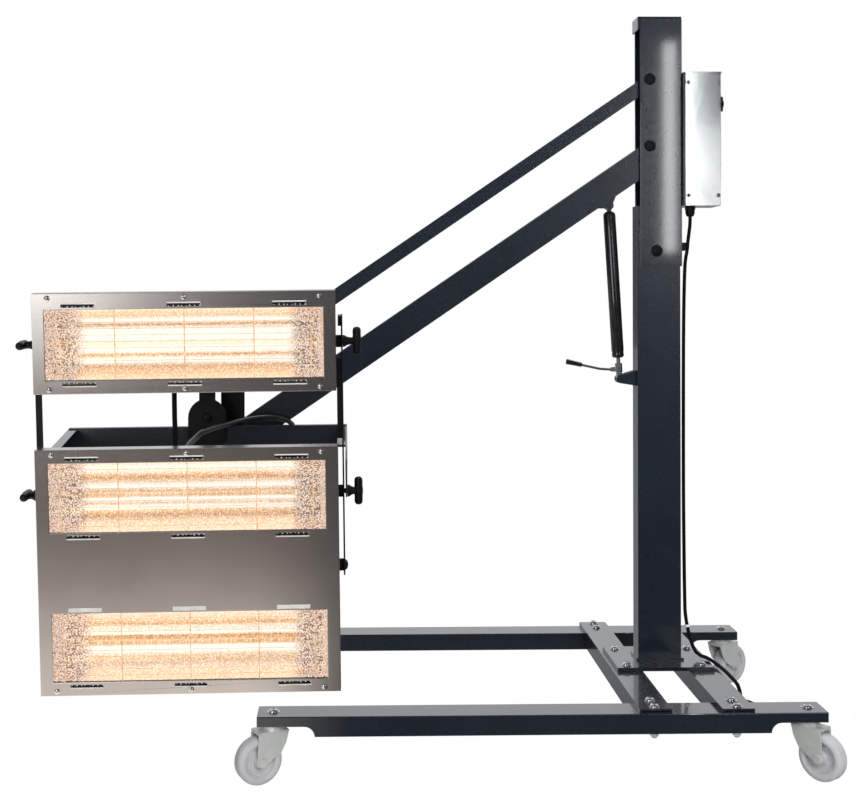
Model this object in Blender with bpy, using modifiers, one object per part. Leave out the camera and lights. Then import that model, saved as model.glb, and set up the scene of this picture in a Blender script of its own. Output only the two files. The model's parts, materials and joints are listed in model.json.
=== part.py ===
"""Mobile infrared paint curing lamp.

Frame: X runs along the base rails, Y away from the lamps' front, Z up. The pieces are
modelled about the mast, and the root empty then stands the lamp on the origin.
Every moving body has an empty on its joint's axis, and its pieces are children of it.
"""

import math

import bmesh
import bpy
from mathutils import Matrix, Vector

# General clearances and roundness
GAP = 0.0003
RUNNING_GAP = 0.0005
OVERRUN = 0.004
UNION_DEPTH = 0.001
ROUND_SIDES = 16
SMALL_SIDES = 8
MERGE = 0.00001
SHARP_ANGLE = math.radians(35)

# Base rails
RAIL_LEFT = -0.8655
RAIL_RIGHT = 0.2605
RAIL_WIDTH = 0.070
RAIL_HEIGHT = 0.040
RAIL_BOTTOM = 0.107
RAIL_SPREAD = 0.305
RAIL_WALL = 0.003
RELIEF_LENGTH = 0.113
RELIEF_HEIGHT = 0.020
DRAIN_RADIUS = 0.005
RAIL_TOP = RAIL_BOTTOM + RAIL_HEIGHT
SEAT_Z = RAIL_BOTTOM + RELIEF_HEIGHT
CASTER_HEIGHT = 0.117
FLOOR_Z = SEAT_Z - CASTER_HEIGHT

# Cross-beams
BEAM_OFFSET = 0.082
BEAM_WIDTH = 0.064
BEAM_HEIGHT = 0.040
BEAM_WALL = 0.003
TONGUE_HEIGHT = 0.009
BEAM_TOP = RAIL_TOP + GAP + TONGUE_HEIGHT
BEAM_BOLT_INSET = 0.015
BOLT_HEAD_RADIUS = 0.009
BOLT_HEAD_HEIGHT = 0.006
DOME_NUT_HEIGHT = 0.012

# Mast
PLATE_LENGTH = 0.210
PLATE_DEPTH = 0.170
PLATE_THICKNESS = 0.008
PLATE_BOLT_INSET_X = 0.023
PLATE_BOLT_INSET_Y = 0.020
TUBE_WIDTH = 0.095
TUBE_DEPTH = 0.050
TUBE_WALL = 0.003
TUBE_TOP = 1.167
WELD_WIDTH = 0.005
PLATE_BOTTOM = BEAM_TOP + GAP
PLATE_TOP = PLATE_BOTTOM + PLATE_THICKNESS

# Upper channel of the mast
CHANNEL_WALL = 0.003
CHANNEL_LEFT = -0.0415
CHANNEL_BOTTOM = 1.033
CHANNEL_TOP = 1.581
CHANNEL_INNER = TUBE_DEPTH / 2 + GAP
CHANNEL_OUTER = CHANNEL_INNER + CHANNEL_WALL
WEB_INNER = TUBE_WIDTH / 2 + GAP
WEB_OUTER = WEB_INNER + CHANNEL_WALL
CAP_THICKNESS = 0.003
CAP_LIP_HEIGHT = 0.026
CAP_LIP_THICKNESS = 0.005
PIVOT_X = -0.020
LOWER_PIVOT_Z = 1.299
PIVOT_SPACING = 0.147
PIVOT_RADIUS = 0.008
DOME_RADIUS = 0.013
DOME_HEIGHT = 0.007
FIXING_BOLT_X = -0.005
FIXING_BOLT_Z = 1.067
FIXING_BOLT_RADIUS = 0.006

# Arms
ARM_SLOPE = math.radians(34.3)
ARM_LENGTH = 1.115
UPPER_ARM_SIZE = 0.030
UPPER_ARM_DROP = 0.004
UPPER_ARM_WALL = 0.002
LOWER_ARM_DEPTH = 0.060
LOWER_ARM_WIDTH = 0.040
LOWER_ARM_RISE = 0.010
LOWER_ARM_WALL = 0.003
LOWER_ARM_TAIL = 0.020
NOSE_RADIUS = 0.018
NOSE_LENGTH = 0.070
BUSH_RADIUS = 0.0095
ARM_SOLID_END = 0.030
KNUCKLE_X = PIVOT_X - ARM_LENGTH * math.cos(ARM_SLOPE)
KNUCKLE_Z = LOWER_PIVOT_Z - ARM_LENGTH * math.sin(ARM_SLOPE)

# Knuckle at the head end of the arms
KNUCKLE_WIDTH = 0.047
KNUCKLE_PIN_INSET = 0.024
KNUCKLE_DROP = 0.031
KNUCKLE_RISE = 0.032
KNUCKLE_HEAD_HEIGHT = 0.004
KNUCKLE_HEAD_RADIUS = 0.010
LEAD_GLAND_LENGTH = 0.014
LEAD_GLAND_RADIUS = 0.008
LEAD_GLAND_OFFSET = 0.0137
LEAD_GLAND_DROP = 0.0187
LEAD_GLAND_REACH = 0.0151
LEAD_GLAND_Z = KNUCKLE_Z - LEAD_GLAND_DROP
LEAD_GLAND_X = KNUCKLE_X + LEAD_GLAND_REACH
GLAND_BRACKET_SHARE = 0.7

# Head carrier: pivot plate on the knuckle and the yoke in front of it
ROLL_REACH = 0.0479
ROLL_RISE = 0.0373
HEAD_X = KNUCKLE_X - ROLL_REACH
ROLL_Z = KNUCKLE_Z + ROLL_RISE
ROLL_ANGLE = math.radians(-0.6)
CROSSBAR_FRONT = -0.079
CROSSBAR_DEPTH = 0.020
CROSSBAR_DROP = 0.068
CROSSBAR_HEIGHT = 0.048
CROSSBAR_WALL = 0.003
LUG_RADIUS = 0.036
BELL_THICKNESS = 0.008
BELL_RADIUS = 0.041
BELL_DROP = 0.057
NECK_WIDTH = 0.0345
NECK_HEIGHT = 0.142
SPINE_HEIGHT = 0.050
SPINE_REACH = 0.037
NECK_TOP = ROLL_Z + NECK_HEIGHT
BELL_SPINE_BOTTOM = NECK_TOP - SPINE_HEIGHT
BELL_SPINE_RIGHT = HEAD_X + SPINE_REACH
ROLL_PIN_RADIUS = 0.010
ROLL_HEAD_RADIUS = 0.015
ROLL_HEAD_HEIGHT = 0.006
YOKE_PLATE = 0.003
YOKE_HALF = 0.300
YOKE_TOP_FRONT = 0.062
YOKE_NOSE = 0.013
YOKE_FLANGE_WIDTH = 0.020
YOKE_FLANGE_START = 0.104
YOKE_SWEEP = 0.110
BELL_CORNER_SHARE = 0.3
TILT_Y = -0.349
TILT_DROP = 0.121
TILT_Z = ROLL_Z - TILT_DROP
TILT_ANGLE = math.radians(3.75)

# Head: sizes in its own frame, whose origin is on the tilt axis
PANEL_FRONT = -0.085
PANEL_SHEET = 0.0015
PANEL_FLANGE = 0.030
LOWER_PANEL_HALF = 0.284
LOWER_PANEL_BOTTOM = -0.367
LOWER_PANEL_TOP = 0.103
UPPER_PANEL_HALF = 0.2823
UPPER_PANEL_BOTTOM = 0.208
UPPER_PANEL_TOP = 0.397
WINDOW_WIDTH = 0.519
WINDOW_HEIGHT = 0.132
LOWER_MARGIN = 0.026
UPPER_MARGIN = 0.031
SLOT_LENGTH = 0.061
SLOT_HEIGHT = 0.005
SLOT_PITCH = 0.1965
SLOT_OFFSET = 0.0075
PANEL_SCREW_X = 0.253
PANEL_SCREW_INSET = 0.009
PANEL_SCREW_RADIUS = 0.0045
PANEL_SCREW_HEIGHT = 0.002
HOUSING_BACK = 0.025
HOUSING_WALL = 0.002
HOUSING_TOP_INSET = 0.020
HOUSING_BOTTOM_INSET = 0.012
UPPER_BOTTOM_INSET = 0.018
GRILLE_WIRE = 0.001
GRILLE_POST = 0.0013
GRILLE_ROWS = 10
GRILLE_OVERLAP = 0.0035
GRILLE_SIDES = 4
GRILLE_SIDE = 0.008
GRILLE_POST_SHARES = (0.25, 0.5, 0.75)
REFLECTOR_SHEET = 0.001
REFLECTOR_DEPTH = 0.048
REFLECTOR_BACK_HALF = 0.022
REFLECTOR_SIDE = 0.004
LAMP_RADIUS = 0.0055
LAMP_CAP_RADIUS = 0.009
LAMP_CAP_LENGTH = 0.030
STRAP_THICKNESS = 0.003
STRAP_OFFSET = 0.2915
STRAP_HALF = 0.0215
STRAP_FLANGE_BOTTOM = 0.107
STRAP_FLANGE_TOP = 0.263
STRAP_BOTTOM = -0.161
STRAP_TOP = 0.344
STRAP_LIP_HEIGHT = 0.020
STRAP_LIP_REACH = 0.0058
STRAP_BOLT_Z = -0.146
STRAP_DOME_RADIUS = 0.011
STRAP_DOME_HEIGHT = 0.006
SPACER_RADIUS = 0.012
CASSETTE_AXIS_Z = 0.293
KNOB_TIP = 0.331
KNOB_STEM_RADIUS = 0.0085
KNOB_BAR_LENGTH = 0.055
KNOB_BAR_RADIUS = 0.009
KNOB_SHANK_RADIUS = 0.005
KNOB_SHANK_INNER = 0.288
UPPER_LEAD_X = -0.034
UPPER_LEAD_Y = 0.016
UPPER_LEAD_RADIUS = 0.005
UPPER_LEAD_ROUNDNESS = 2
UPPER_LEAD_STRAIGHT = 0.0125
UPPER_LEAD_BOW = 0.004
HEAD_LEAD_RADIUS = 0.0055
HEAD_LEAD_EXIT_X = -0.019
HEAD_LEAD_EXIT_Z = 0.060
REAR_GLAND_LENGTH = 0.012
REAR_GLAND_RADIUS = 0.009

# Gas strut
STRUT_FOOT_X = -0.083
STRUT_FOOT_Z = 0.783
STRUT_EYE_X = -0.106
STRUT_EYE_Z = 1.168
STRUT_EYE_RADIUS = 0.008
STRUT_EYE_HALF = 0.0075
STRUT_CHEEK_INNER = STRUT_EYE_HALF + RUNNING_GAP
STRUT_CHEEK = 0.004
STRUT_CHEEK_RADIUS = 0.009
CYLINDER_RADIUS = 0.0135
CYLINDER_TOP_OFFSET = 0.0125
CYLINDER_LENGTH = 0.326
CYLINDER_BORE_LENGTH = 0.305
CYLINDER_ROUNDING = 0.004
ROD_RADIUS = 0.0045
ROD_LENGTH = 0.315
COLLAR_RADIUS = 0.008
COLLAR_LENGTH = 0.020
COLLAR_OFFSET = 0.015
FOOT_CHEEK_HEIGHT = 0.035
FOOT_CHEEK_RISE = 0.020
EYE_CHEEK_LENGTH = 0.050
EYE_PIN_RADIUS = 0.004
LEVER_RADIUS = 0.003
LEVER_LUG_X = -0.015
LEVER_LUG_Z = 0.022
LEVER_LUG_HALF = 0.005
LEVER_LUG_THICKNESS = 0.004
LEVER_PIN_RADIUS = 0.002
LEVER_REACH = 0.066
LEVER_RISE = 0.014
LEVER_ELBOW_SHARE = 0.4
GRIP_RADIUS = 0.006
GRIP_TAPER_SHARE = 0.8
GRIP_LENGTH = 0.035

# Control box on the mast
BOX_PLATE_THICKNESS = 0.0049
BOX_LEFT = WEB_OUTER + GAP
BOX_RIGHT = 0.134
BOX_HALF_DEPTH = 0.040
BOX_BOTTOM = 1.166
BOX_TOP = 1.460
BOX_SHEET = 0.0015
BOX_LID_OVERHANG = 0.002
BOX_LID_HEIGHT = 0.004
BOX_BEACON_X = 0.112
BOX_BEACON_WIDTH = 0.025
BOX_BEACON_HEIGHT = 0.005
BOX_SCREW_INSET_X = 0.006
BOX_SCREW_INSET_Z = 0.023
BOX_SCREW_RADIUS = 0.004
BOX_SCREW_HEIGHT = 0.002
TIMER_Z = 1.395
TIMER_RADIUS = 0.019
TIMER_HEIGHT = 0.016
TIMER_NECK_SHARE = 0.55
TIMER_SKIRT_SHARE = 0.4
TIMER_RIM_SHARE = 0.3
SWITCH_TOP_Z = 1.330
SWITCH_PITCH = 0.042
SWITCH_WIDTH = 0.022
SWITCH_HEIGHT = 0.030
SWITCH_DEPTH = 0.008
SWITCH_BOW = 0.004
SWITCH_LEAN_SHARE = 0.16
SWITCH_COUNT = 3
GLAND_X = 0.076
GLAND_RADIUS = 0.012
GLAND_LENGTH = 0.0215
GLAND_NUT_SHARE = 0.65
GLAND_NECK_RADIUS = 0.009

# Mains cable, its fittings and its coil on the floor
CABLE_RADIUS = 0.004
TAIL_SAG_SHARE = 0.55
TAIL_STRAIGHT_SHARE = 1.2
CABLE_SPACING = 0.024
CLIP_BOTTOM = 1.068
CLIP_HEIGHT = 0.018
CLIP_HALF = 0.008
CLIP_REACH = 0.0135
TIE_Z = 0.248
TIE_HEIGHT = 0.005
TIE_THICKNESS = 0.002
COIL_X = 0.190
COIL_Y = 0.043
COIL_OUTER = 0.0505
COIL_PITCH = 0.0086
COIL_TURNS = 3
COIL_LAYERS = 4
COIL_LAST_SHARE = 0.25
COIL_START = math.radians(-90)
LOOP_POINTS = 24
PLUG_X = 0.122
PLUG_Y = -0.005
PLUG_RADIUS = 0.017
PLUG_LENGTH = 0.048
PLUG_BOOT_RADIUS = 0.008
PLUG_BOOT_LENGTH = 0.014
PLUG_PIN_RADIUS = 0.0024
PLUG_PIN_LENGTH = 0.019
PLUG_PIN_SPREAD = 0.0095
PLUG_Z = FLOOR_Z + PLUG_RADIUS + GAP
CABLE_ROUTE = (
    (0.075, 0.000, 1.120), (0.0705, 0.000, 1.085), (0.0695, 0.000, 1.070),
    (0.064, 0.000, 1.030), (0.061, 0.000, 0.900), (0.060, 0.000, 0.700),
    (0.060, 0.000, 0.500), (0.062, 0.000, 0.300), (0.064, -0.003, 0.250),
    (0.072, -0.012, 0.205), (0.084, -0.020, 0.177), (0.104, -0.035, 0.170),
    (0.118, -0.060, 0.163), (0.124, -0.100, 0.160), (0.127, -0.140, 0.157),
    (0.131, -0.168, 0.150), (0.132, -0.184, 0.130), (0.131, -0.184, 0.100),
    (0.132, -0.165, 0.072), (0.135, -0.125, 0.053), (0.139, -0.080, 0.044),
    (0.1415, -0.020, 0.040),
)
HEAD_LEAD_ROUTE = (
    (-0.019, -0.295, -0.056), (-0.019, -0.269, -0.041), (-0.006, -0.235, -0.026),
    (0.012, -0.209, -0.015), (0.075, -0.109, -0.005), (0.138, -0.052, -0.003),
    (0.177, -0.042, -0.016), (0.183, -0.042, -0.040), (0.155, -0.042, -0.054),
)

# Casters
CASTER_INSET = 0.031
WHEEL_RADIUS = 0.0467
WHEEL_HALF = 0.016
WHEEL_ROUNDING = 0.008
RIM_RADIUS = 0.032
RIM_HALF = 0.011
HUB_RADIUS = 0.013
AXLE_RADIUS = 0.006
AXLE_HEAD_RADIUS = 0.009
AXLE_HEAD_HEIGHT = 0.004
CASTER_TRAIL = 0.033
FORK_HALF = 0.0175
FORK_SHEET = 0.003
FORK_CROWN_TOP = 0.012
FORK_CROWN_THICKNESS = 0.007
FORK_CROWN_BACK = 0.025
FORK_CROWN_FRONT = 0.039
FORK_BOSS = 0.011
FORK_BACK_BEND = ((0.0170, 0.043), (0.0060, 0.023))
BEARING_RADIUS = 0.024
CASTER_SPOTS = (
    ("front_left", -1, -1, -153.0), ("front_right", 1, -1, -48.8),
    ("rear_left", -1, 1, 152.0), ("rear_right", 1, 1, 35.0),
)


def clear_scene():
    """Remove every object that the file starts with."""
    for thing in list(bpy.data.objects):
        bpy.data.objects.remove(thing, do_unlink=True)


def collection(name):
    """Make a collection of the scene."""
    group = bpy.data.collections.new(name)
    bpy.context.scene.collection.children.link(group)
    return group


def finish(name, colour, roughness, metallic):
    """Make a Principled material."""
    material = bpy.data.materials.new(name)
    material.use_nodes = True
    shader = material.node_tree.nodes["Principled BSDF"]
    shader.inputs["Base Color"].default_value = (*colour, 1)
    shader.inputs["Roughness"].default_value = roughness
    shader.inputs["Metallic"].default_value = metallic
    return material


def empty(name, parent, location, rotation=(0, 0, 0)):
    """Make a frame on a joint's axis."""
    frame = bpy.data.objects.new(name, None)
    frame.location = location
    frame.rotation_euler = rotation
    frame.parent = parent
    PARTS.objects.link(frame)
    return frame


def mesh_object(shape, hollow=False):
    """Turn a bmesh into a loose object.

    The faces of a simple solid are turned outwards; a hollow one's already face rightly.
    """
    if not hollow:
        shape.normal_update()
        bmesh.ops.recalc_face_normals(shape, faces=shape.faces)
        if shape.calc_volume(signed=True) < 0:
            bmesh.ops.reverse_faces(shape, faces=shape.faces)
    mesh = bpy.data.meshes.new("solid")
    shape.to_mesh(mesh)
    shape.free()
    solid = bpy.data.objects.new("solid", mesh)
    WORKSHOP.objects.link(solid)
    return solid


def baked(thing, hollow=False):
    """Replace an object by its evaluated mesh, welded at its caps."""
    bpy.context.view_layer.update()
    graph = bpy.context.evaluated_depsgraph_get()
    mesh = bpy.data.meshes.new_from_object(thing.evaluated_get(graph))
    shape = bmesh.new()
    shape.from_mesh(mesh)
    shape.transform(thing.matrix_world)
    bmesh.ops.remove_doubles(shape, verts=shape.verts, dist=MERGE)
    bpy.data.objects.remove(thing, do_unlink=True)
    return mesh_object(shape, hollow)


def block(low, high, rounding=0):
    """Box between two corners, with rounded edges where rounding is given."""
    shape = bmesh.new()
    bmesh.ops.create_cube(shape, size=1)
    size = [b - a for a, b in zip(low, high)]
    centre = [(a + b) / 2 for a, b in zip(low, high)]
    bmesh.ops.scale(shape, vec=size, verts=shape.verts)
    bmesh.ops.translate(shape, vec=centre, verts=shape.verts)
    if rounding:
        bmesh.ops.bevel(shape, geom=shape.edges[:], offset=rounding, segments=2,
                        profile=0.5, affect="EDGES")
    return mesh_object(shape)


def along(start, end):
    """Matrix that takes +Z at the origin to the line from start to end."""
    line = Vector(end) - Vector(start)
    turn = line.to_track_quat("Z", "Y").to_matrix().to_4x4()
    return Matrix.Translation(Vector(start)) @ turn


def rod(start, end, radius, sides=ROUND_SIDES, tip_radius=None):
    """Cylinder or cone between two points."""
    length = (Vector(end) - Vector(start)).length
    shape = bmesh.new()
    bmesh.ops.create_cone(shape, cap_ends=True, segments=sides, radius1=radius,
                          radius2=radius if tip_radius is None else tip_radius,
                          depth=length)
    bmesh.ops.translate(shape, vec=(0, 0, length / 2), verts=shape.verts)
    shape.transform(along(start, end))
    return mesh_object(shape)


def arc(centre, radius, first, last, steps):
    """Points of an arc, angles in degrees."""
    points = []
    for i in range(steps + 1):
        angle = math.radians(first + (last - first) * i / steps)
        points.append((centre[0] + radius * math.cos(angle),
                       centre[1] + radius * math.sin(angle)))
    return points


def plate(outline, low, high, axis):
    """Flat outline given thickness along an axis.

    The outline is in XZ for axis "Y", in YZ for axis "X" and in XY for axis "Z".
    """
    curve = bpy.data.curves.new("outline", "CURVE")
    curve.dimensions = "2D"
    curve.fill_mode = "BOTH"
    curve.extrude = abs(high - low) / 2
    spline = curve.splines.new("POLY")
    spline.points.add(len(outline) - 1)
    for point, place in zip(spline.points, outline):
        point.co = (*place, 0, 1)
    spline.use_cyclic_u = True
    flat = bpy.data.objects.new("outline", curve)
    WORKSHOP.objects.link(flat)
    middle = (low + high) / 2
    if axis == "Y":
        flat.matrix_world = Matrix(((1, 0, 0, 0), (0, 0, 1, middle), (0, 1, 0, 0), (0, 0, 0, 1)))
    elif axis == "X":
        flat.matrix_world = Matrix(((0, 0, 1, middle), (1, 0, 0, 0), (0, 1, 0, 0), (0, 0, 0, 1)))
    else:
        flat.matrix_world = Matrix.Translation((0, 0, middle))
    return baked(flat)


def turned(profile, start, end, sides=ROUND_SIDES):
    """Turn a profile of (radius, height) pairs about the line from start to end.

    The profile runs from the top down, and the heights are measured from start.
    """
    mesh = bpy.data.meshes.new("profile")
    points = [(radius, 0, height) for radius, height in profile]
    mesh.from_pydata(points, [(i, i + 1) for i in range(len(points) - 1)], [])
    spun = bpy.data.objects.new("turned", mesh)
    WORKSHOP.objects.link(spun)
    screw = spun.modifiers.new("turn", "SCREW")
    screw.steps = sides
    screw.render_steps = sides
    screw.use_merge_vertices = True
    screw.merge_threshold = MERGE
    spun.matrix_world = along(start, end)
    return baked(spun)


def dome_profile(radius, height):
    """Profile of a flat dome, from its top down to its rim at height 0."""
    steps = 2
    profile = [(0, height)]
    for i in range(1, steps + 1):
        angle = math.pi / 2 * (1 - i / steps)
        profile.append((radius * math.cos(angle), height * math.sin(angle)))
    return profile


def dome(base, direction, radius, height, sides=SMALL_SIDES):
    """Round bolt head that stands on base, sunk a little for its union."""
    profile = dome_profile(radius, height) + [(radius, -UNION_DEPTH), (0, -UNION_DEPTH)]
    return turned(profile, base, Vector(base) + Vector(direction), sides)


def pipe(points, radius, resolution=2):
    """Solid round bar along points."""
    return baked(cord_curve("pipe", points, radius, resolution, WORKSHOP))


def cord_curve(name, points, radius, resolution, group):
    """Curve object with a round bevel and filled caps."""
    curve = bpy.data.curves.new(name, "CURVE")
    curve.dimensions = "3D"
    curve.bevel_depth = radius
    curve.bevel_resolution = resolution
    curve.use_fill_caps = True
    spline = curve.splines.new("POLY")
    spline.points.add(len(points) - 1)
    for point, place in zip(spline.points, points):
        point.co = (*place, 1)
    cord = bpy.data.objects.new(name, curve)
    group.objects.link(cord)
    return cord


def combined(base, others, operation):
    """Boolean the other solids into the base, or out of it, one at a time."""
    for other in others:
        step = base.modifiers.new("combine", "BOOLEAN")
        step.operation = operation
        step.solver = "EXACT"
        step.object = other
        base = baked(base, hollow=True)
        bpy.data.objects.remove(other, do_unlink=True)
    return base


def joined(base, *others):
    """One body of several overlapping solids."""
    return combined(base, others, "UNION")


def cut(base, *cutters):
    """Base without the cutters."""
    return combined(base, cutters, "DIFFERENCE")


def part(solid, name, material, parent):
    """Name a finished solid, give it its material and put it in its body's frame."""
    solid.name = name
    solid.data.name = name
    solid.data.materials.clear()
    solid.data.materials.append(material)
    if solid.type == "MESH":
        solid.data.shade_smooth()
        solid.data.set_sharp_from_angle(angle=SHARP_ANGLE)
    WORKSHOP.objects.unlink(solid)
    PARTS.objects.link(solid)
    solid.parent = parent
    return solid


def smooth_route(points, spacing):
    """Evenly spaced points of a smooth curve through the route's own points.

    The first and the last stretch of the route stay straight, square to what they meet.
    """
    places = [Vector(point) for point in points]
    fine_steps = 24
    fine = []
    for i in range(1, len(places) - 2):
        before, here, there, after = places[i - 1:i + 3]
        if i == 1:
            before = here + (before - here).normalized() * (there - here).length
        if i == len(places) - 3:
            after = there + (after - there).normalized() * (there - here).length
        for j in range(fine_steps):
            t = j / fine_steps
            fine.append(((2 * here) + (there - before) * t
                         + (2 * before - 5 * here + 4 * there - after) * t ** 2
                         + (3 * here - before - 3 * there + after) * t ** 3) / 2)
    fine.append(places[-2])
    lengths = [0]
    for a, b in zip(fine, fine[1:]):
        lengths.append(lengths[-1] + (b - a).length)
    count = max(2, round(lengths[-1] / spacing))
    even = [places[0]]
    j = 0
    for i in range(count):
        target = lengths[-1] * i / count
        while lengths[j + 1] < target:
            j += 1
        share = (target - lengths[j]) / (lengths[j + 1] - lengths[j])
        even.append(fine[j].lerp(fine[j + 1], share))
    return even + places[-2:]


def bend(start, control, end, steps):
    """Points of a quadratic curve in a plane, both ends included."""
    points = []
    for i in range(steps + 1):
        t = i / steps
        points.append(tuple((1 - t) ** 2 * a + 2 * t * (1 - t) * b + t ** 2 * c
                            for a, b, c in zip(start, control, end)))
    return points


def build_rails(root):
    """Two long base rails, each relieved below at its ends for a caster."""
    for name, side in (("rail_front", -1), ("rail_rear", 1)):
        y = side * RAIL_SPREAD
        left_end = RAIL_LEFT + RELIEF_LENGTH
        right_end = RAIL_RIGHT - RELIEF_LENGTH
        outline = [(RAIL_LEFT, RAIL_TOP), (RAIL_LEFT, SEAT_Z)]
        outline += arc((left_end - RELIEF_HEIGHT, RAIL_BOTTOM), RELIEF_HEIGHT, 90, 0, 5)
        outline += arc((right_end + RELIEF_HEIGHT, RAIL_BOTTOM), RELIEF_HEIGHT, 180, 90, 5)
        outline += [(RAIL_RIGHT, SEAT_Z), (RAIL_RIGHT, RAIL_TOP)]
        rail = plate(outline, y - RAIL_WIDTH / 2, y + RAIL_WIDTH / 2, "Y")
        inner = RAIL_WIDTH / 2 - RAIL_WALL
        ceiling = RAIL_TOP - RAIL_WALL
        floor = RAIL_BOTTOM + RAIL_WALL
        step = SEAT_Z + RAIL_WALL
        hollow = plate([(RAIL_LEFT + RAIL_WALL, ceiling), (RAIL_LEFT + RAIL_WALL, step),
                        (left_end + RAIL_WALL, step), (left_end + RAIL_WALL, floor),
                        (right_end - RAIL_WALL, floor), (right_end - RAIL_WALL, step),
                        (RAIL_RIGHT - RAIL_WALL, step), (RAIL_RIGHT - RAIL_WALL, ceiling)],
                       y - inner, y + inner, "Y")
        drain = rod((0, y, RAIL_BOTTOM - OVERRUN), (0, y, RAIL_BOTTOM + RAIL_WALL + OVERRUN),
                    DRAIN_RADIUS, SMALL_SIDES)
        rail = cut(rail, drain, hollow)
        fittings = []
        for x in (RAIL_LEFT + CASTER_INSET, RAIL_RIGHT - CASTER_INSET):
            fittings.append(dome((x, y, RAIL_TOP), (0, 0, 1), BOLT_HEAD_RADIUS, BOLT_HEAD_HEIGHT))
        for x in (-BEAM_OFFSET, BEAM_OFFSET):
            fittings.append(dome((x, y, RAIL_BOTTOM), (0, 0, -1), BOLT_HEAD_RADIUS,
                                 DOME_NUT_HEIGHT))
        part(joined(rail, *fittings), name, PAINT, root)


def build_beams(root):
    """Two hollow cross-beams, with tongues that lie on the rails and are open at their ends."""
    outer = RAIL_SPREAD + RAIL_WIDTH / 2
    inner = RAIL_SPREAD - RAIL_WIDTH / 2 - GAP
    bottom = BEAM_TOP - BEAM_HEIGHT
    tongue = BEAM_TOP - TONGUE_HEIGHT
    half = BEAM_WIDTH / 2
    core = half - BEAM_WALL
    turn = inner - BEAM_WALL
    for name, x in (("cross_beam_left", -BEAM_OFFSET), ("cross_beam_right", BEAM_OFFSET)):
        beam = block((x - half, -outer, bottom), (x + half, outer, BEAM_TOP))
        cutters = []
        for side in (-1, 1):
            low, high = sorted((side * inner, side * (outer + OVERRUN)))
            cutters.append(block((x - half - OVERRUN, low, bottom - OVERRUN),
                                 (x + half + OVERRUN, high, tongue)))
        cutters.append(block((x - core, -turn, bottom + BEAM_WALL),
                             (x + core, turn, BEAM_TOP - BEAM_WALL)))
        for side in (-1, 1):
            low, high = sorted((side * (turn - OVERRUN), side * (outer + OVERRUN)))
            cutters.append(block((x - core + UNION_DEPTH, low, tongue + BEAM_WALL),
                                 (x + core - UNION_DEPTH, high,
                                  BEAM_TOP - BEAM_WALL - UNION_DEPTH)))
        beam = cut(beam, *cutters)
        bolts = []
        for y in (-outer + BEAM_BOLT_INSET, -inner - BEAM_BOLT_INSET,
                  inner + BEAM_BOLT_INSET, outer - BEAM_BOLT_INSET):
            bolts.append(dome((x, y, BEAM_TOP), (0, 0, 1), BOLT_HEAD_RADIUS, BOLT_HEAD_HEIGHT))
        part(joined(beam, *bolts), name, PAINT, root)


def cross_hole(x, z, radius, half_depth):
    """Cutter or bar along Y through a pivot."""
    return rod((x, -half_depth, z), (x, half_depth, z), radius)


def build_mast(root):
    """Foot plate, tube, weld and strut bracket as one welded piece."""
    foot = block((-PLATE_LENGTH / 2, -PLATE_DEPTH / 2, PLATE_BOTTOM),
                 (PLATE_LENGTH / 2, PLATE_DEPTH / 2, PLATE_TOP))
    tube = block((-TUBE_WIDTH / 2, -TUBE_DEPTH / 2, PLATE_TOP - UNION_DEPTH),
                 (TUBE_WIDTH / 2, TUBE_DEPTH / 2, TUBE_TOP))
    weld_x = TUBE_WIDTH / 2 + WELD_WIDTH
    weld_y = TUBE_DEPTH / 2 + WELD_WIDTH
    weld = block((-weld_x, -weld_y, PLATE_TOP - UNION_DEPTH),
                 (weld_x, weld_y, PLATE_TOP + WELD_WIDTH))
    face = UNION_DEPTH - TUBE_WIDTH / 2
    bracket_top = STRUT_FOOT_Z + FOOT_CHEEK_RISE
    outline = [(face, bracket_top)]
    outline += arc((STRUT_FOOT_X, STRUT_FOOT_Z), STRUT_CHEEK_RADIUS, 90, 270, 8)
    outline += [(face, bracket_top - FOOT_CHEEK_HEIGHT)]
    pieces = [tube, weld]
    for side in (-1, 1):
        near = side * STRUT_CHEEK_INNER
        far = side * (STRUT_CHEEK_INNER + STRUT_CHEEK)
        pieces.append(plate(outline, min(near, far), max(near, far), "Y"))
    for x in (PLATE_BOLT_INSET_X - PLATE_LENGTH / 2, PLATE_LENGTH / 2 - PLATE_BOLT_INSET_X):
        for y in (PLATE_BOLT_INSET_Y - PLATE_DEPTH / 2, PLATE_DEPTH / 2 - PLATE_BOLT_INSET_Y):
            pieces.append(dome((x, y, PLATE_TOP), (0, 0, 1), BOLT_HEAD_RADIUS, BOLT_HEAD_HEIGHT))
    bore = block((TUBE_WALL - TUBE_WIDTH / 2, TUBE_WALL - TUBE_DEPTH / 2, PLATE_TOP),
                 (TUBE_WIDTH / 2 - TUBE_WALL, TUBE_DEPTH / 2 - TUBE_WALL, TUBE_TOP + OVERRUN))
    hole = cross_hole(FIXING_BOLT_X, FIXING_BOLT_Z, FIXING_BOLT_RADIUS + GAP, CHANNEL_OUTER)
    part(cut(joined(foot, *pieces), bore, hole), "mast", PAINT, root)


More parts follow.
